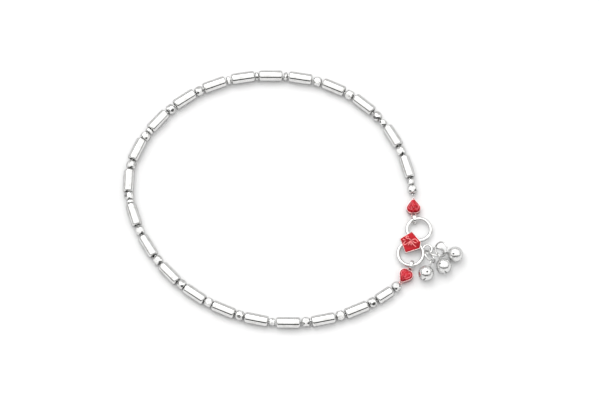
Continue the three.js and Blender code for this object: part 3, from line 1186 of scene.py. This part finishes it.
@dataclass
class SHook:
    """The clasp: one wire bent into two round loops, a side ring and a soldered tray.

    Attributes:
        middle: the middle of the hook, in plan.
        axis: the direction from its lower loop to its upper one, in degrees.
        loops: the radii of the upper and the lower loop.
        wire: half the wire's thickness.
        apart: the distance between the middles of the loops.
        height: the height of the wire's middle.
        tail: how far the wire's ends stop from the axis, in degrees.
        side_middle: the middle of the side ring, in plan.
        side_radius: its radius.
        side_wire: half its wire's thickness.
    """

    middle: Point = (34.55, -13.24)
    axis: float = 71.7
    loops: tuple[float, float] = (3.35, 3.55)
    wire: float = 0.5
    apart: float = 7.74
    height: float = 1.25
    tail: float = 28
    side_middle: Point = (38.11, -15.54)
    side_radius: float = 1.25
    side_wire: float = 0.275

    @property
    def centre(self) -> Vector:
        """The hook's middle, at the wire's height."""
        return Vector((*self.middle, self.height))

    @property
    def upper(self) -> Vector:
        """The middle of the upper loop."""
        return self.centre + ahead(self.axis, self.apart / 2)

    @property
    def lower(self) -> Vector:
        """The middle of the lower loop."""
        return self.centre - ahead(self.axis, self.apart / 2)

    def bent_wire(self) -> BMesh:
        """The hook's wire.

        Returns:
            The mesh of the wire.
        """
        both = sum(self.loops)
        leave = math.degrees(math.acos(both / self.apart))
        straight = math.sqrt(self.apart**2 - both**2)
        turn = 360 - leave - self.tail
        start_angle = self.axis + 180 - self.tail
        start = self.upper + ahead(start_angle, self.loops[0])
        drawn = Wire(start, ahead(start_angle - 90), self.wire, 20)
        drawn.bend(self.upper, -turn, 72)
        drawn.reach(drawn.at + drawn.heading * straight)
        drawn.bend(self.lower, turn, 72)
        return drawn.cap(rounding=0.6)

    def build(self, finishes: Finishes) -> None:
        """Makes the hook's wire and its side ring.

        Args:
            finishes: the finishes to dress them in.
        """
        wire = self.bent_wire()
        make_piece("s_hook_wire", wire, finishes.wire, ["s_hook"], WIRE_CREASE)
        ring = closed_ring(self.side_radius, self.side_wire, 48, 16)
        place = Vector((*self.side_middle, self.height))
        bmesh.ops.translate(ring, vec=place, verts=ring.verts)
        make_piece("s_hook_side_ring", ring, finishes.wire, ["s_hook"])


@dataclass
class Plate:
    """The small tray over the hook's crossing, filled with enamel under a raised pattern.

    Attributes:
        middle: the plate's middle, in plan.
        corners: its corners, from the middle.
        bottom: the underside of the tray.
        floor: the top of the tray's floor.
        top: the top of its rim.
        rim: the rim's thickness.
        ease: the rounding of the tray's edges.
        clearance: the gap between the rim and the enamel.
        enamel_below: how far the enamel's edge stays below the rim.
        enamel_top: the highest point of the enamel.
        domed: how the enamel rises, as insets and shares of the whole rise.
        line: half the thickness of a raised line.
        line_sunk: how far the middle of a line is below the enamel's top.
        lines: the raised lines, each through points measured from the middle.
    """

    middle: Point = (33.39, -13.62)
    corners: Line = (
        (0.36, 3.02),
        (-3.11, 0.82),
        (-1.53, -3.49),
        (2.56, -2.12),
        (2.88, -0.28),
    )
    bottom: float = 1.6
    floor: float = 2.05
    top: float = 2.5
    rim: float = 0.12
    ease: float = 0.045
    clearance: float = 0.015
    enamel_below: float = 0.06
    enamel_top: float = 2.6
    domed: tuple[tuple[float, float], ...] = ((0.06, 0.45), (0.14, 0.3), (0.3, 0.15), (0.5, 0.1))
    line: float = 0.125
    line_sunk: float = 0.05
    lines: tuple[Line, ...] = (
        ((0.1, 0.0), (0.55, -0.75), (1.05, -1.35), (1.45, -1.7)),
        ((0.0, -0.1), (0.05, -0.7), (0.1, -1.3)),
        ((-0.1, -0.05), (-0.45, -0.6), (-0.75, -1.25)),
        (
            (-0.1, 0.05),
            (-0.6, -0.35),
            (-1.15, -0.72),
            (-1.68, -1.05),
            (-2.0, -0.68),
            (-1.75, -0.2),
            (-1.35, 0.05),
        ),
        (
            (-0.05, 0.15),
            (-0.35, 0.75),
            (-0.95, 0.8),
            (-1.35, 1.15),
            (-1.1, 1.6),
            (-0.7, 1.45),
            (-0.75, 1.05),
        ),
        ((0.15, 0.1), (0.6, 0.0), (1.05, -0.4), (1.6, -0.45)),
        ((0.15, 0.25), (0.75, 0.6), (1.3, 0.62), (1.8, 0.2), (2.05, -0.3)),
        ((-1.5, 0.4), (-1.95, 0.45), (-2.2, 0.75)),
    )

    def outline(self, inset: float) -> list[Point]:
        """The plate's outline in place, drawn in all round.

        Args:
            inset: how far it is drawn in.

        Returns:
            The corners.
        """
        corners = [Vector(corner) for corner in self.corners]
        drawn = []
        for index, corner in enumerate(corners):
            before = (corner - corners[index - 1]).normalized()
            after = (corners[(index + 1) % len(corners)] - corner).normalized()
            inwards = Vector((-before.y - after.y, before.x + after.x)).normalized()
            reach = inset / (inwards.x * -before.y + inwards.y * before.x)
            point = corner + inwards * reach
            drawn.append((self.middle[0] + point.x, self.middle[1] + point.y))
        return drawn

    def tray(self) -> BMesh:
        """The tray: a floor with a low rim.

        Returns:
            The tray's mesh.
        """
        bm = bmesh.new()
        foot = outline_face(bm, self.outline(0), self.bottom)
        raise_face(bm, [foot], self.top - self.bottom)
        bmesh.ops.recalc_face_normals(bm, faces=bm.faces)
        lid = max(bm.faces, key=lambda face: face.calc_center_median().z)
        bmesh.ops.inset_region(bm, faces=[lid], thickness=self.rim, use_even_offset=True)
        result = bmesh.ops.extrude_face_region(bm, geom=[lid])
        sunk = only(result["geom"], BMVert)
        bmesh.ops.translate(bm, vec=(0, 0, self.floor - self.top), verts=sunk)
        bmesh.ops.delete(bm, geom=[lid], context="FACES_ONLY")
        bmesh.ops.recalc_face_normals(bm, faces=bm.faces)
        ease_edges(bm, sharp_edge, self.ease, 3)
        return bm

    def pillow(self) -> BMesh:
        """The enamel, a low pillow inside the rim.

        Returns:
            The enamel's mesh.
        """
        bm = bmesh.new()
        start = self.floor + self.clearance
        foot = outline_face(bm, self.outline(self.rim + self.clearance), start)
        edge = self.top - self.enamel_below
        raise_face(bm, [foot], edge - start)
        bmesh.ops.recalc_face_normals(bm, faces=bm.faces)
        lid = max(bm.faces, key=lambda face: face.calc_center_median().z)
        rise = self.enamel_top - edge
        for thickness, share in self.domed:
            depth = rise * share
            bmesh.ops.inset_region(
                bm, faces=[lid], thickness=thickness, depth=depth, use_even_offset=True
            )
        bmesh.ops.triangulate(bm, faces=[face for face in bm.faces if len(face.verts) > 4])
        return bm

    def build(self, finishes: Finishes) -> None:
        """Makes the tray, its enamel and the raised lines.

        Args:
            finishes: the finishes to dress them in.
        """
        make_piece("plate_tray", self.tray(), finishes.plate_frame, ["s_hook"])
        make_piece("plate_pillow", self.pillow(), finishes.plate, ["plate_enamel"])
        relief = bmesh.new()
        height = self.enamel_top - self.line_sunk
        for points in self.lines:
            placed = tuple((self.middle[0] + x, self.middle[1] + y) for x, y in points)
            gather(relief, raised_line(placed, height, self.line))
        make_piece("plate_scribed_lines", relief, finishes.wash, crease=WIRE_CREASE)


# ---- Hearts --------------------------------------------------------------------------


@dataclass(frozen=True)
class HeartPlace:
    """Where a heart hangs.

    Attributes:
        number: 1 or 2.
        thread_end: the middle of the thread's last eye.
        to_hook: the direction from there to the hook, in degrees.
        link_turn: how far the end link turns from that direction.
    """

    number: int
    thread_end: Vector
    to_hook: float
    link_turn: float


@dataclass
class Hearts:
    """Two enamelled hearts between the thread and the hook.

    Attributes:
        thread: the thread that they end.
        hook: the hook that they hang from.
        length: a heart's length.
        lobe: the radius of its two lobes.
        spacing: how far each lobe's middle is from the heart's own axis.
        tip: the radius of the rounded point.
        band: the thickness of its metal band.
        band_depth: the band's height.
        ease: the rounding of the band's edges.
        clearance: the gap between the band and the enamel.
        enamel_below: how far the enamel's edge stays below the band's.
        enamel_depth: the height of the enamel, which is domed on both sides.
        domed: how the enamel rises, as insets and shares of the whole rise.
        middle_height: the height of the heart's middle.
        point_reach: how far the eye at the point is from the middle.
        point_eye: its radius, and half the thickness and width of its metal.
        notch_reach: how far the eye in the notch is from the middle.
        notch_eye: its radius, and half the thickness and width of its metal.
        thread_gap: how far the eye at the point is from the thread's last eye.
        hook_angles: where each heart's link meets its loop of the hook, in degrees.
        link_turns: how far each link turns from its heart's direction, in degrees.
        link_radius: the radius of an end link.
        link_section: half the thickness and half the width of its flat band.
        line: half the thickness of a raised scroll.
        line_sunk: how far the middle of a scroll is below the enamel's top.
        scrolls: the raised scrolls, each through points measured from the middle.
    """

    thread: Thread
    hook: SHook
    length: float = 4.2
    lobe: float = 1.5
    spacing: float = 0.5
    tip: float = 0.8
    band: float = 0.13
    band_depth: float = 1.4
    ease: float = 0.05
    clearance: float = 0.02
    enamel_below: float = 0.05
    enamel_depth: float = 2.4
    domed: tuple[tuple[float, float], ...] = (
        (0.05, 0.35),
        (0.08, 0.28),
        (0.12, 0.2),
        (0.15, 0.12),
        (0.18, 0.05),
    )
    middle_height: float = 1.35
    point_reach: float = 2.3
    point_eye: tuple[float, float, float] = (0.335, 0.085, 0.13)
    notch_reach: float = 2.56
    notch_eye: tuple[float, float, float] = (0.6, 0.08, 0.15)
    thread_gap: float = 0.44
    hook_angles: tuple[float, float] = (115.3, -79)
    link_turns: tuple[float, float] = (8, 18)
    link_radius: float = 1.24
    link_section: tuple[float, float] = (0.2, 0.46)
    line: float = 0.095
    line_sunk: float = 0.06
    scrolls: tuple[Line, ...] = (
        (
            (1.2, 0.15),
            (0.7, 0.7),
            (0.05, 1.25),
            (-0.6, 1.4),
            (-1.15, 1.05),
            (-1.1, 0.55),
            (-0.65, 0.5),
            (-0.5, 0.9),
        ),
        (
            (1.0, -0.3),
            (0.45, -0.85),
            (-0.05, -1.3),
            (-0.75, -1.35),
            (-1.2, -0.95),
            (-1.0, -0.5),
            (-0.55, -0.7),
        ),
        ((0.75, 0.0), (0.2, 0.3), (-0.3, 0.1), (-0.7, -0.1)),
    )

    def __post_init__(self) -> None:
        """Places both hearts."""
        self.first = self.hang(0, 0, self.hook.upper)
        self.second = self.hang(1, self.thread.length, self.hook.lower)

    def hang(self, index: int, distance: float, loop_middle: Vector) -> HeartPlace:
        """Places one heart between the thread and its loop of the hook.

        Args:
            index: 0 for the first heart and the upper loop, 1 for the second and the lower.
            distance: the thread's end, as a distance along it.
            loop_middle: the middle of that loop.

        Returns:
            The heart's place.
        """
        hook_point = loop_middle + ahead(self.hook_angles[index], self.hook.loops[index])
        point, _ = self.thread.pose(distance)
        point.z = self.thread.end_height
        to_hook = math.degrees(math.atan2(hook_point.y - point.y, hook_point.x - point.x))
        return HeartPlace(index + 1, point, to_hook, self.link_turns[index])

    def outline(self, inset: float) -> list[Point]:
        """A heart's outline with its point towards +X.

        Args:
            inset: how far the outline is drawn in.

        Returns:
            The outline, anticlockwise.
        """
        tip_x = self.length / 2 - self.tip
        lobe_x = -self.length / 2 + self.lobe
        reach = math.hypot(tip_x - lobe_x, self.spacing)
        lean = math.atan2(self.spacing, tip_x - lobe_x)
        shoulder = math.degrees(math.acos((self.lobe - self.tip) / reach) - lean)
        radius = self.lobe - inset
        notch = 180 + math.degrees(math.asin(self.spacing / radius))
        point = arc((tip_x, 0), self.tip - inset, -shoulder, shoulder, 10)
        left = arc((lobe_x, self.spacing), radius, shoulder, notch, 14)
        right = [(x, -y) for x, y in reversed(left)]
        return [*point, *left, *right[1:]]

    def band_mesh(self) -> BMesh:
        """The metal band with its two eyes.

        Returns:
            The band's mesh.
        """
        bm = bmesh.new()
        face = outline_face(bm, self.outline(0), -self.band_depth / 2)
        bmesh.ops.inset_region(
            bm, faces=[face], thickness=self.band, use_boundary=True, use_even_offset=True
        )
        bmesh.ops.delete(bm, geom=[face], context="FACES_ONLY")
        raise_face(bm, list(bm.faces), self.band_depth)
        bmesh.ops.recalc_face_normals(bm, faces=bm.faces)
        ease_edges(bm, sharp_edge, self.ease, 2)
        for at, (radius, thick, wide), steps in (
            (self.point_reach, self.point_eye, 24),
            (-self.notch_reach, self.notch_eye, 28),
        ):
            gather(bm, flat_ring(radius, (thick, wide), steps), Matrix.Translation((at, 0, 0)))
        return bm

    def dome_mesh(self) -> BMesh:
        """The enamel, domed above and below.

        Returns:
            The enamel's mesh.
        """
        bm = bmesh.new()
        foot = outline_face(bm, self.outline(self.band + self.clearance), 0)
        side = self.band_depth / 2 - self.enamel_below
        lid = raise_face(bm, [foot], side)[0]
        bmesh.ops.delete(bm, geom=[foot], context="FACES_ONLY")
        rise = self.enamel_depth / 2 - side
        for thickness, share in self.domed:
            depth = rise * share
            bmesh.ops.inset_region(
                bm, faces=[lid], thickness=thickness, depth=depth, use_even_offset=True
            )
        bmesh.ops.triangulate(bm, faces=[lid])
        geom = list(bm.verts) + list(bm.edges) + list(bm.faces)
        bmesh.ops.mirror(bm, geom=geom, axis="Z", merge_dist=WELD)
        bmesh.ops.remove_doubles(bm, verts=bm.verts, dist=WELD)
        bmesh.ops.recalc_face_normals(bm, faces=bm.faces)
        return bm

    def relief_mesh(self) -> BMesh:
        """The raised scrolls on the upper face of the enamel.

        Returns:
            The scrolls' mesh.
        """
        bm = bmesh.new()
        for points in self.scrolls:
            gather(bm, raised_line(points, self.enamel_depth / 2 - self.line_sunk, self.line))
        return bm

    def build(self, finishes: Finishes) -> None:
        """Makes both hearts and their end links.

        Args:
            finishes: the finishes to dress them in.
        """
        for heart in (self.first, self.second):
            middle = heart.thread_end + ahead(heart.to_hook, self.thread_gap + self.point_reach)
            middle.z = self.middle_height
            turn = Matrix.Rotation(math.radians(heart.to_hook + 180), 4, "Z")
            place = Matrix.Translation(middle) @ turn
            band = self.band_mesh()
            bmesh.ops.transform(band, matrix=place, verts=band.verts)
            node = f"heart_band_{heart.number}"
            name = f"heart_frame_{heart.number}"
            make_piece(name, band, finishes.heart_frame, [node])
            dome = self.dome_mesh()
            bmesh.ops.transform(dome, matrix=place, verts=dome.verts)
            node = f"heart_enamel_{heart.number}"
            make_piece(f"heart_dome_{heart.number}", dome, finishes.heart, [node])
            relief = self.relief_mesh()
            bmesh.ops.transform(relief, matrix=place, verts=relief.verts)
            name = f"heart_scrolls_{heart.number}"
            make_piece(name, relief, finishes.scroll, crease=WIRE_CREASE)
            node = f"end_link_{heart.number}"
            link = flat_ring(self.link_radius, self.link_section, 44)
            turn = turned_to(ahead(heart.to_hook + heart.link_turn + 90))
            place = Matrix.Translation(node_middle(node)) @ turn
            bmesh.ops.transform(link, matrix=place, verts=link.verts)
            name = f"heart_link_{heart.number}"
            make_piece(name, link, finishes.wire, [node], WIRE_CREASE)


# ---- Bells ---------------------------------------------------------------------------


@dataclass(frozen=True)
class BellPlace:
    """How one bell lies and how its jump ring leans.

    Attributes:
        number: 1 to 3.
        azimuth: the direction that its bail points, in degrees.
        lift: how far that direction rises.
        plane: the direction in plan of the bail's own plane.
        bail: the bail's radius.
        ring_azimuth: the direction square to the jump ring, in plan.
        ring_lift: how far that direction rises.
        ring_radius: the jump ring's radius.
        vent: the direction of the small vent hole in the shell.
    """

    number: int
    azimuth: float
    lift: float
    plane: float
    bail: float
    ring_azimuth: float
    ring_lift: float
    ring_radius: float
    vent: tuple[float, float, float]


@dataclass
class Bells:
    """Three hollow bells with crossed slits, each on a jump ring, a loose pea in each.

    Attributes:
        places: how the bells lie.
        radius: a bell's radius.
        wall: the wall's thickness.
        slit: the width of a slit.
        slit_top: how high the slits reach, as a share of the radius below the middle.
        bail_wire: half the thickness of the bail's wire.
        sunk: how far the bail is sunk into the bell.
        pea: the pea's radius.
        vent: the radius of the vent hole.
        jump_wire: half the thickness of a jump ring's wire.
        split: the angle between the two ends of a jump ring, in degrees.
    """

    places: tuple[BellPlace, ...] = (
        BellPlace(
            number=1,
            azimuth=65.8,
            lift=5,
            plane=68.7,
            bail=1.08,
            ring_azimuth=29.1,
            ring_lift=35.9,
            ring_radius=2.03,
            vent=(0.07, -0.08, 0.99),
        ),
        BellPlace(
            number=2,
            azimuth=118,
            lift=10.3,
            plane=118.5,
            bail=0.91,
            ring_azimuth=83.7,
            ring_lift=53.3,
            ring_radius=2.14,
            vent=(-0.5, 0.0, 0.87),
        ),
        BellPlace(
            number=3,
            azimuth=176,
            lift=20,
            plane=176,
            bail=0.8,
            ring_azimuth=205.2,
            ring_lift=46.6,
            ring_radius=2.05,
            vent=(-0.23, -0.25, 0.94),
        ),
    )
    radius: float = 2.2
    wall: float = 0.22
    slit: float = 0.3
    slit_top: float = 0.76
    bail_wire: float = 0.22
    sunk: float = 0.16
    pea: float = 0.55
    vent: float = 0.28
    jump_wire: float = 0.225
    split: float = 4

    def shell(self, vent: Vector) -> BMesh:
        """A bell's shell, its slits round the -Z pole.

        Args:
            vent: the direction of the vent hole from the shell's middle.

        Returns:
            The shell's mesh.
        """
        bm = bmesh.new()
        bmesh.ops.create_uvsphere(bm, u_segments=48, v_segments=32, radius=self.radius)
        hub = max(bm.verts, key=lambda vert: vert.co.dot(vent))
        rim = list({vert for face in hub.link_faces for vert in face.verts if vert is not hub})
        hub_at = hub.co.copy()
        bmesh.ops.dissolve_verts(bm, verts=[hub])
        for vert in rim:
            out = (vert.co - hub_at).normalized()
            vert.co = (hub_at + out * self.vent).normalized() * self.radius
        hole = min(bm.faces, key=lambda face: (face.calc_center_median() - hub_at).length)
        bmesh.ops.delete(bm, geom=[hole], context="FACES_ONLY")
        half = self.slit / 2
        top = -self.radius * self.slit_top
        for normal, place in (
            ((1, 0, 0), (half, 0, 0)),
            ((1, 0, 0), (-half, 0, 0)),
            ((0, 1, 0), (0, half, 0)),
            ((0, 1, 0), (0, -half, 0)),
            ((0, 0, 1), (0, 0, top)),
        ):
            geom = list(bm.verts) + list(bm.edges) + list(bm.faces)
            bmesh.ops.bisect_plane(bm, geom=geom, dist=WELD, plane_co=place, plane_no=normal)
        cut = []
        for face in bm.faces:
            middle = face.calc_center_median()
            if middle.z < top and (abs(middle.x) < half or abs(middle.y) < half):
                cut.append(face)
        bmesh.ops.delete(bm, geom=cut, context="FACES")
        bmesh.ops.recalc_face_normals(bm, faces=bm.faces)
        outer = max(bm.faces, key=lambda face: face.calc_center_median().z)
        if outer.normal.z < 0:
            bmesh.ops.reverse_faces(bm, faces=bm.faces)
        bmesh.ops.solidify(bm, geom=list(bm.faces), thickness=self.wall)
        return bm

    def build(self, finishes: Finishes) -> None:
        """Makes the bells, their peas and their jump rings.

        Args:
            finishes: the finishes to dress them in.
        """
        for bell in self.places:
            centre = node_middle(f"bell_pea_{bell.number}")
            centre.z = self.radius
            axis = aimed(bell.azimuth, bell.lift)
            turn = turned_to(axis)
            shell = self.shell(turn.inverted().to_3x3() @ Vector(bell.vent))
            bmesh.ops.transform(shell, matrix=Matrix.Translation(centre) @ turn, verts=shell.verts)
            node = f"bell_{bell.number}"
            make_piece(f"bell_shell_{bell.number}", shell, finishes.bell, [node])
            bail = closed_ring(bell.bail, self.bail_wire, 36, 14)
            bail_middle = centre + axis * (self.radius + bell.bail - self.sunk)
            place = Matrix.Translation(bail_middle) @ turned_to(ahead(bell.plane + 90))
            bmesh.ops.transform(bail, matrix=place, verts=bail.verts)
            make_piece(f"bell_bail_{bell.number}", bail, finishes.bell, [node])
            pea = bmesh.new()
            node = f"bell_pea_{bell.number}"
            place = Matrix.Translation(node_middle(node))
            bmesh.ops.create_icosphere(pea, subdivisions=3, radius=self.pea, matrix=place)
            make_piece(f"bell_pellet_{bell.number}", pea, finishes.bell, [node])
            node = f"jump_ring_{bell.number}"
            ring = cut_ring(bell.ring_radius, self.jump_wire, self.split, 64, 14)
            turn = turned_to(aimed(bell.ring_azimuth, bell.ring_lift))
            place = Matrix.Translation(node_middle(node)) @ turn
            bmesh.ops.transform(ring, matrix=place, verts=ring.verts)
            name = f"bell_ring_{bell.number}"
            make_piece(name, ring, finishes.wire, [node], WIRE_CREASE)


# ---- Table, light and camera ---------------------------------------------------------


class RoomSheet:
    """The room's node tree, with short ways to add and join nodes."""

    def __init__(self, name: str) -> None:
        """Starts a room with nothing but its background and output.

        Args:
            name: the room's name.
        """
        self.world = bpy.data.worlds.new(name)
        self.world.use_nodes = True
        self.tree = self.world.node_tree
        self.background = self.tree.nodes["Background"]

    def slopes(self, horizon: float) -> tuple[NodeSocket, NodeSocket, NodeSocket]:
        """Adds the direction of view as slopes from straight up.

        Args:
            horizon: the least height that a direction is taken to have.

        Returns:
            The slope to the right, the slope to the far side, and the part of the
            direction that points to the far side.
        """
        coordinates = self.tree.nodes.new("ShaderNodeTexCoord")
        split = self.tree.nodes.new("ShaderNodeSeparateXYZ")
        self.tree.links.new(coordinates.outputs["Generated"], split.inputs[0])
        x, y, z = split.outputs
        up = self.calculate("MAXIMUM", z, horizon)
        return self.calculate("DIVIDE", x, up), self.calculate("DIVIDE", y, up), y

    def calculate(self, operation: str, *values: float | NodeSocket) -> NodeSocket:
        """Adds a calculation.

        Args:
            operation: which one it is.
            values: what goes into it.

        Returns:
            The result.
        """
        node = self.tree.nodes.new("ShaderNodeMath")
        node.operation = operation
        for socket, value in zip(node.inputs, values):
            if isinstance(value, NodeSocket):
                self.tree.links.new(value, socket)
            else:
                socket.default_value = value
        return node.outputs[0]

    def step(self, value: NodeSocket, low: float, high: float) -> NodeSocket:
        """Adds a smooth step.

        Args:
            value: what is stepped.
            low: where the step is 0.
            high: where it is 1.

        Returns:
            The step, 0 to 1.
        """
        node = self.tree.nodes.new("ShaderNodeMapRange")
        node.interpolation_type = "SMOOTHSTEP"
        node.inputs["From Min"].default_value = low
        node.inputs["From Max"].default_value = high
        self.tree.links.new(value, node.inputs["Value"])
        return node.outputs["Result"]

    def window(
        self, side: NodeSocket, far: NodeSocket, reach: tuple[float, float, float], blur: float
    ) -> NodeSocket:
        """Adds a mask that is 1 between slopes and 0 beyond them.

        Args:
            side: the slope to either side.
            far: the slope to the far side.
            reach: how far the mask goes to each side, the near side and the far side.
            blur: how soft its edges are.

        Returns:
            The mask.
        """
        side_reach, near_reach, far_reach = reach
        across = self.step(side, side_reach + blur, side_reach)
        near = self.step(far, near_reach - blur, near_reach)
        beyond = self.step(far, far_reach + blur, far_reach)
        return self.calculate("MULTIPLY", self.calculate("MULTIPLY", across, near), beyond)


@dataclass
class Studio:
    """The pale table, a broad soft light overhead and the camera.

    Attributes:
        table: half the table's width, in metres.
        aim: the point that the camera looks at, in millimetres.
        elevation: the camera's height above the table, in degrees.
        distance: how far away it stands, in metres.
        lens: its focal length, in millimetres.
        sensor: its sensor's width, in millimetres.
        panel: how far the overhead light reaches to each side, to the near side and to
            the far side, as slopes from straight up.
        flag: how far the dark edge round that light reaches, as slopes.
        blur: how soft the edges are, as a slope.
        lamp: where the light is strongest, as slopes to the right and to the far side.
        lamp_reach: how far the strong part spreads, as a slope.
        glow: the light's strength at its weakest and its strongest.
        flag_glow: the strength of the dark edge.
        room_glow: the strength of the pale room on the near side and on the far side.
        room_turn: where the near side gives way to the far side, as parts of a direction.
        horizon: the least height that a direction is taken to have.
        tint: the light's colour.
    """

    table: float = 3.0
    aim: Point = (2.13, -0.04)
    elevation: float = 68.0
    distance: float = 1.136
    lens: float = 240.0
    sensor: float = 36.0
    panel: tuple[float, float, float] = (2.4, -0.81, 1.35)
    flag: tuple[float, float, float] = (5.0, -2.1, 1.35)
    blur: float = 0.1
    lamp: tuple[float, float] = (-0.4, 0.7)
    lamp_reach: float = 0.9
    glow: tuple[float, float] = (1.4, 4.2)
    flag_glow: float = 0.03
    room_glow: tuple[float, float] = (1.05, 0.72)
    room_turn: tuple[float, float] = (-0.4, 0.6)
    horizon: float = 0.02
    tint: Colour = (1.0, 1.0, 0.995)

    def lay_table(self) -> None:
        """Makes the table top."""
        bm = bmesh.new()
        bmesh.ops.create_grid(bm, x_segments=8, y_segments=8, size=self.table)
        mesh = bpy.data.meshes.new("pale_table")
        bm.to_mesh(mesh)
        bm.free()
        mesh.materials.append(TableFinish().make())
        table = bpy.data.objects.new("pale_table", mesh)
        bpy.context.scene.collection.objects.link(table)
        LOG.info("laid the table")

    def light_room(self) -> None:
        """Makes the room's light: a broad bright panel overhead with a dark edge."""
        sheet = RoomSheet("soft_studio")
        bpy.context.scene.world = sheet.world
        right, far, y = sheet.slopes(self.horizon)
        side = sheet.calculate("ABSOLUTE", right)
        lamp_x, lamp_y = self.lamp
        off_x = sheet.calculate("POWER", sheet.calculate("SUBTRACT", right, lamp_x), 2.0)
        off_y = sheet.calculate("POWER", sheet.calculate("SUBTRACT", far, lamp_y), 2.0)
        from_lamp = sheet.calculate("SQRT", sheet.calculate("ADD", off_x, off_y))
        weak, strong = self.glow
        near_lamp = sheet.step(from_lamp, self.lamp_reach, 0)
        glow = sheet.calculate("MULTIPLY_ADD", near_lamp, strong - weak, weak)
        near_room, far_room = self.room_glow
        towards_far = sheet.step(y, *self.room_turn)
        wall = sheet.calculate("MULTIPLY_ADD", towards_far, far_room - near_room, near_room)
        flag = sheet.window(side, far, self.flag, self.blur)
        darker = sheet.calculate("SUBTRACT", self.flag_glow, wall)
        room = sheet.calculate("MULTIPLY_ADD", flag, darker, wall)
        panel = sheet.window(side, far, self.panel, self.blur)
        brighter = sheet.calculate("SUBTRACT", glow, room)
        above = sheet.calculate("MULTIPLY_ADD", panel, brighter, room)
        sheet.tree.links.new(above, sheet.background.inputs["Strength"])
        sheet.background.inputs["Color"].default_value = (*self.tint, 1)
        LOG.info("lit the room")

    def place_camera(self) -> None:
        """Places the camera."""
        camera = bpy.data.cameras.new("camera")
        camera.lens = self.lens
        camera.sensor_width = self.sensor
        camera.clip_start = 0.01
        camera.clip_end = 20
        camera.dof.use_dof = False
        holder = bpy.data.objects.new("camera", camera)
        bpy.context.scene.collection.objects.link(holder)
        back = aimed(-90, self.elevation)
        holder.location = Vector((*self.aim, 0)) * MM + back * self.distance
        holder.rotation_euler = back.to_track_quat("Z", "Y").to_euler()
        bpy.context.scene.camera = holder
        LOG.info("placed the camera")

    def set_up(self) -> None:
        """Sets up the table, the light and the camera."""
        bpy.context.scene.view_settings.view_transform = "Standard"
        bpy.context.scene.view_settings.look = "None"
        self.lay_table()
        self.light_room()
        self.place_camera()


def main() -> None:
    """Builds the anklet and the studio round it."""
    logging.basicConfig(level=logging.INFO, format="%(message)s")
    finishes = Finishes()
    thread = Thread()
    threading = Threading()
    hook = SHook()
    hearts = Hearts(thread, hook)
    Studio().set_up()
    TubeBeads().build(thread, threading, finishes)
    SpacerBeads().build(thread, threading, finishes)
    CableChain().build(thread, threading, hearts, finishes)
    hook.build(finishes)
    Plate().build(finishes)
    hearts.build(finishes)
    Bells().build(finishes)


if __name__ == "__main__":
    main()
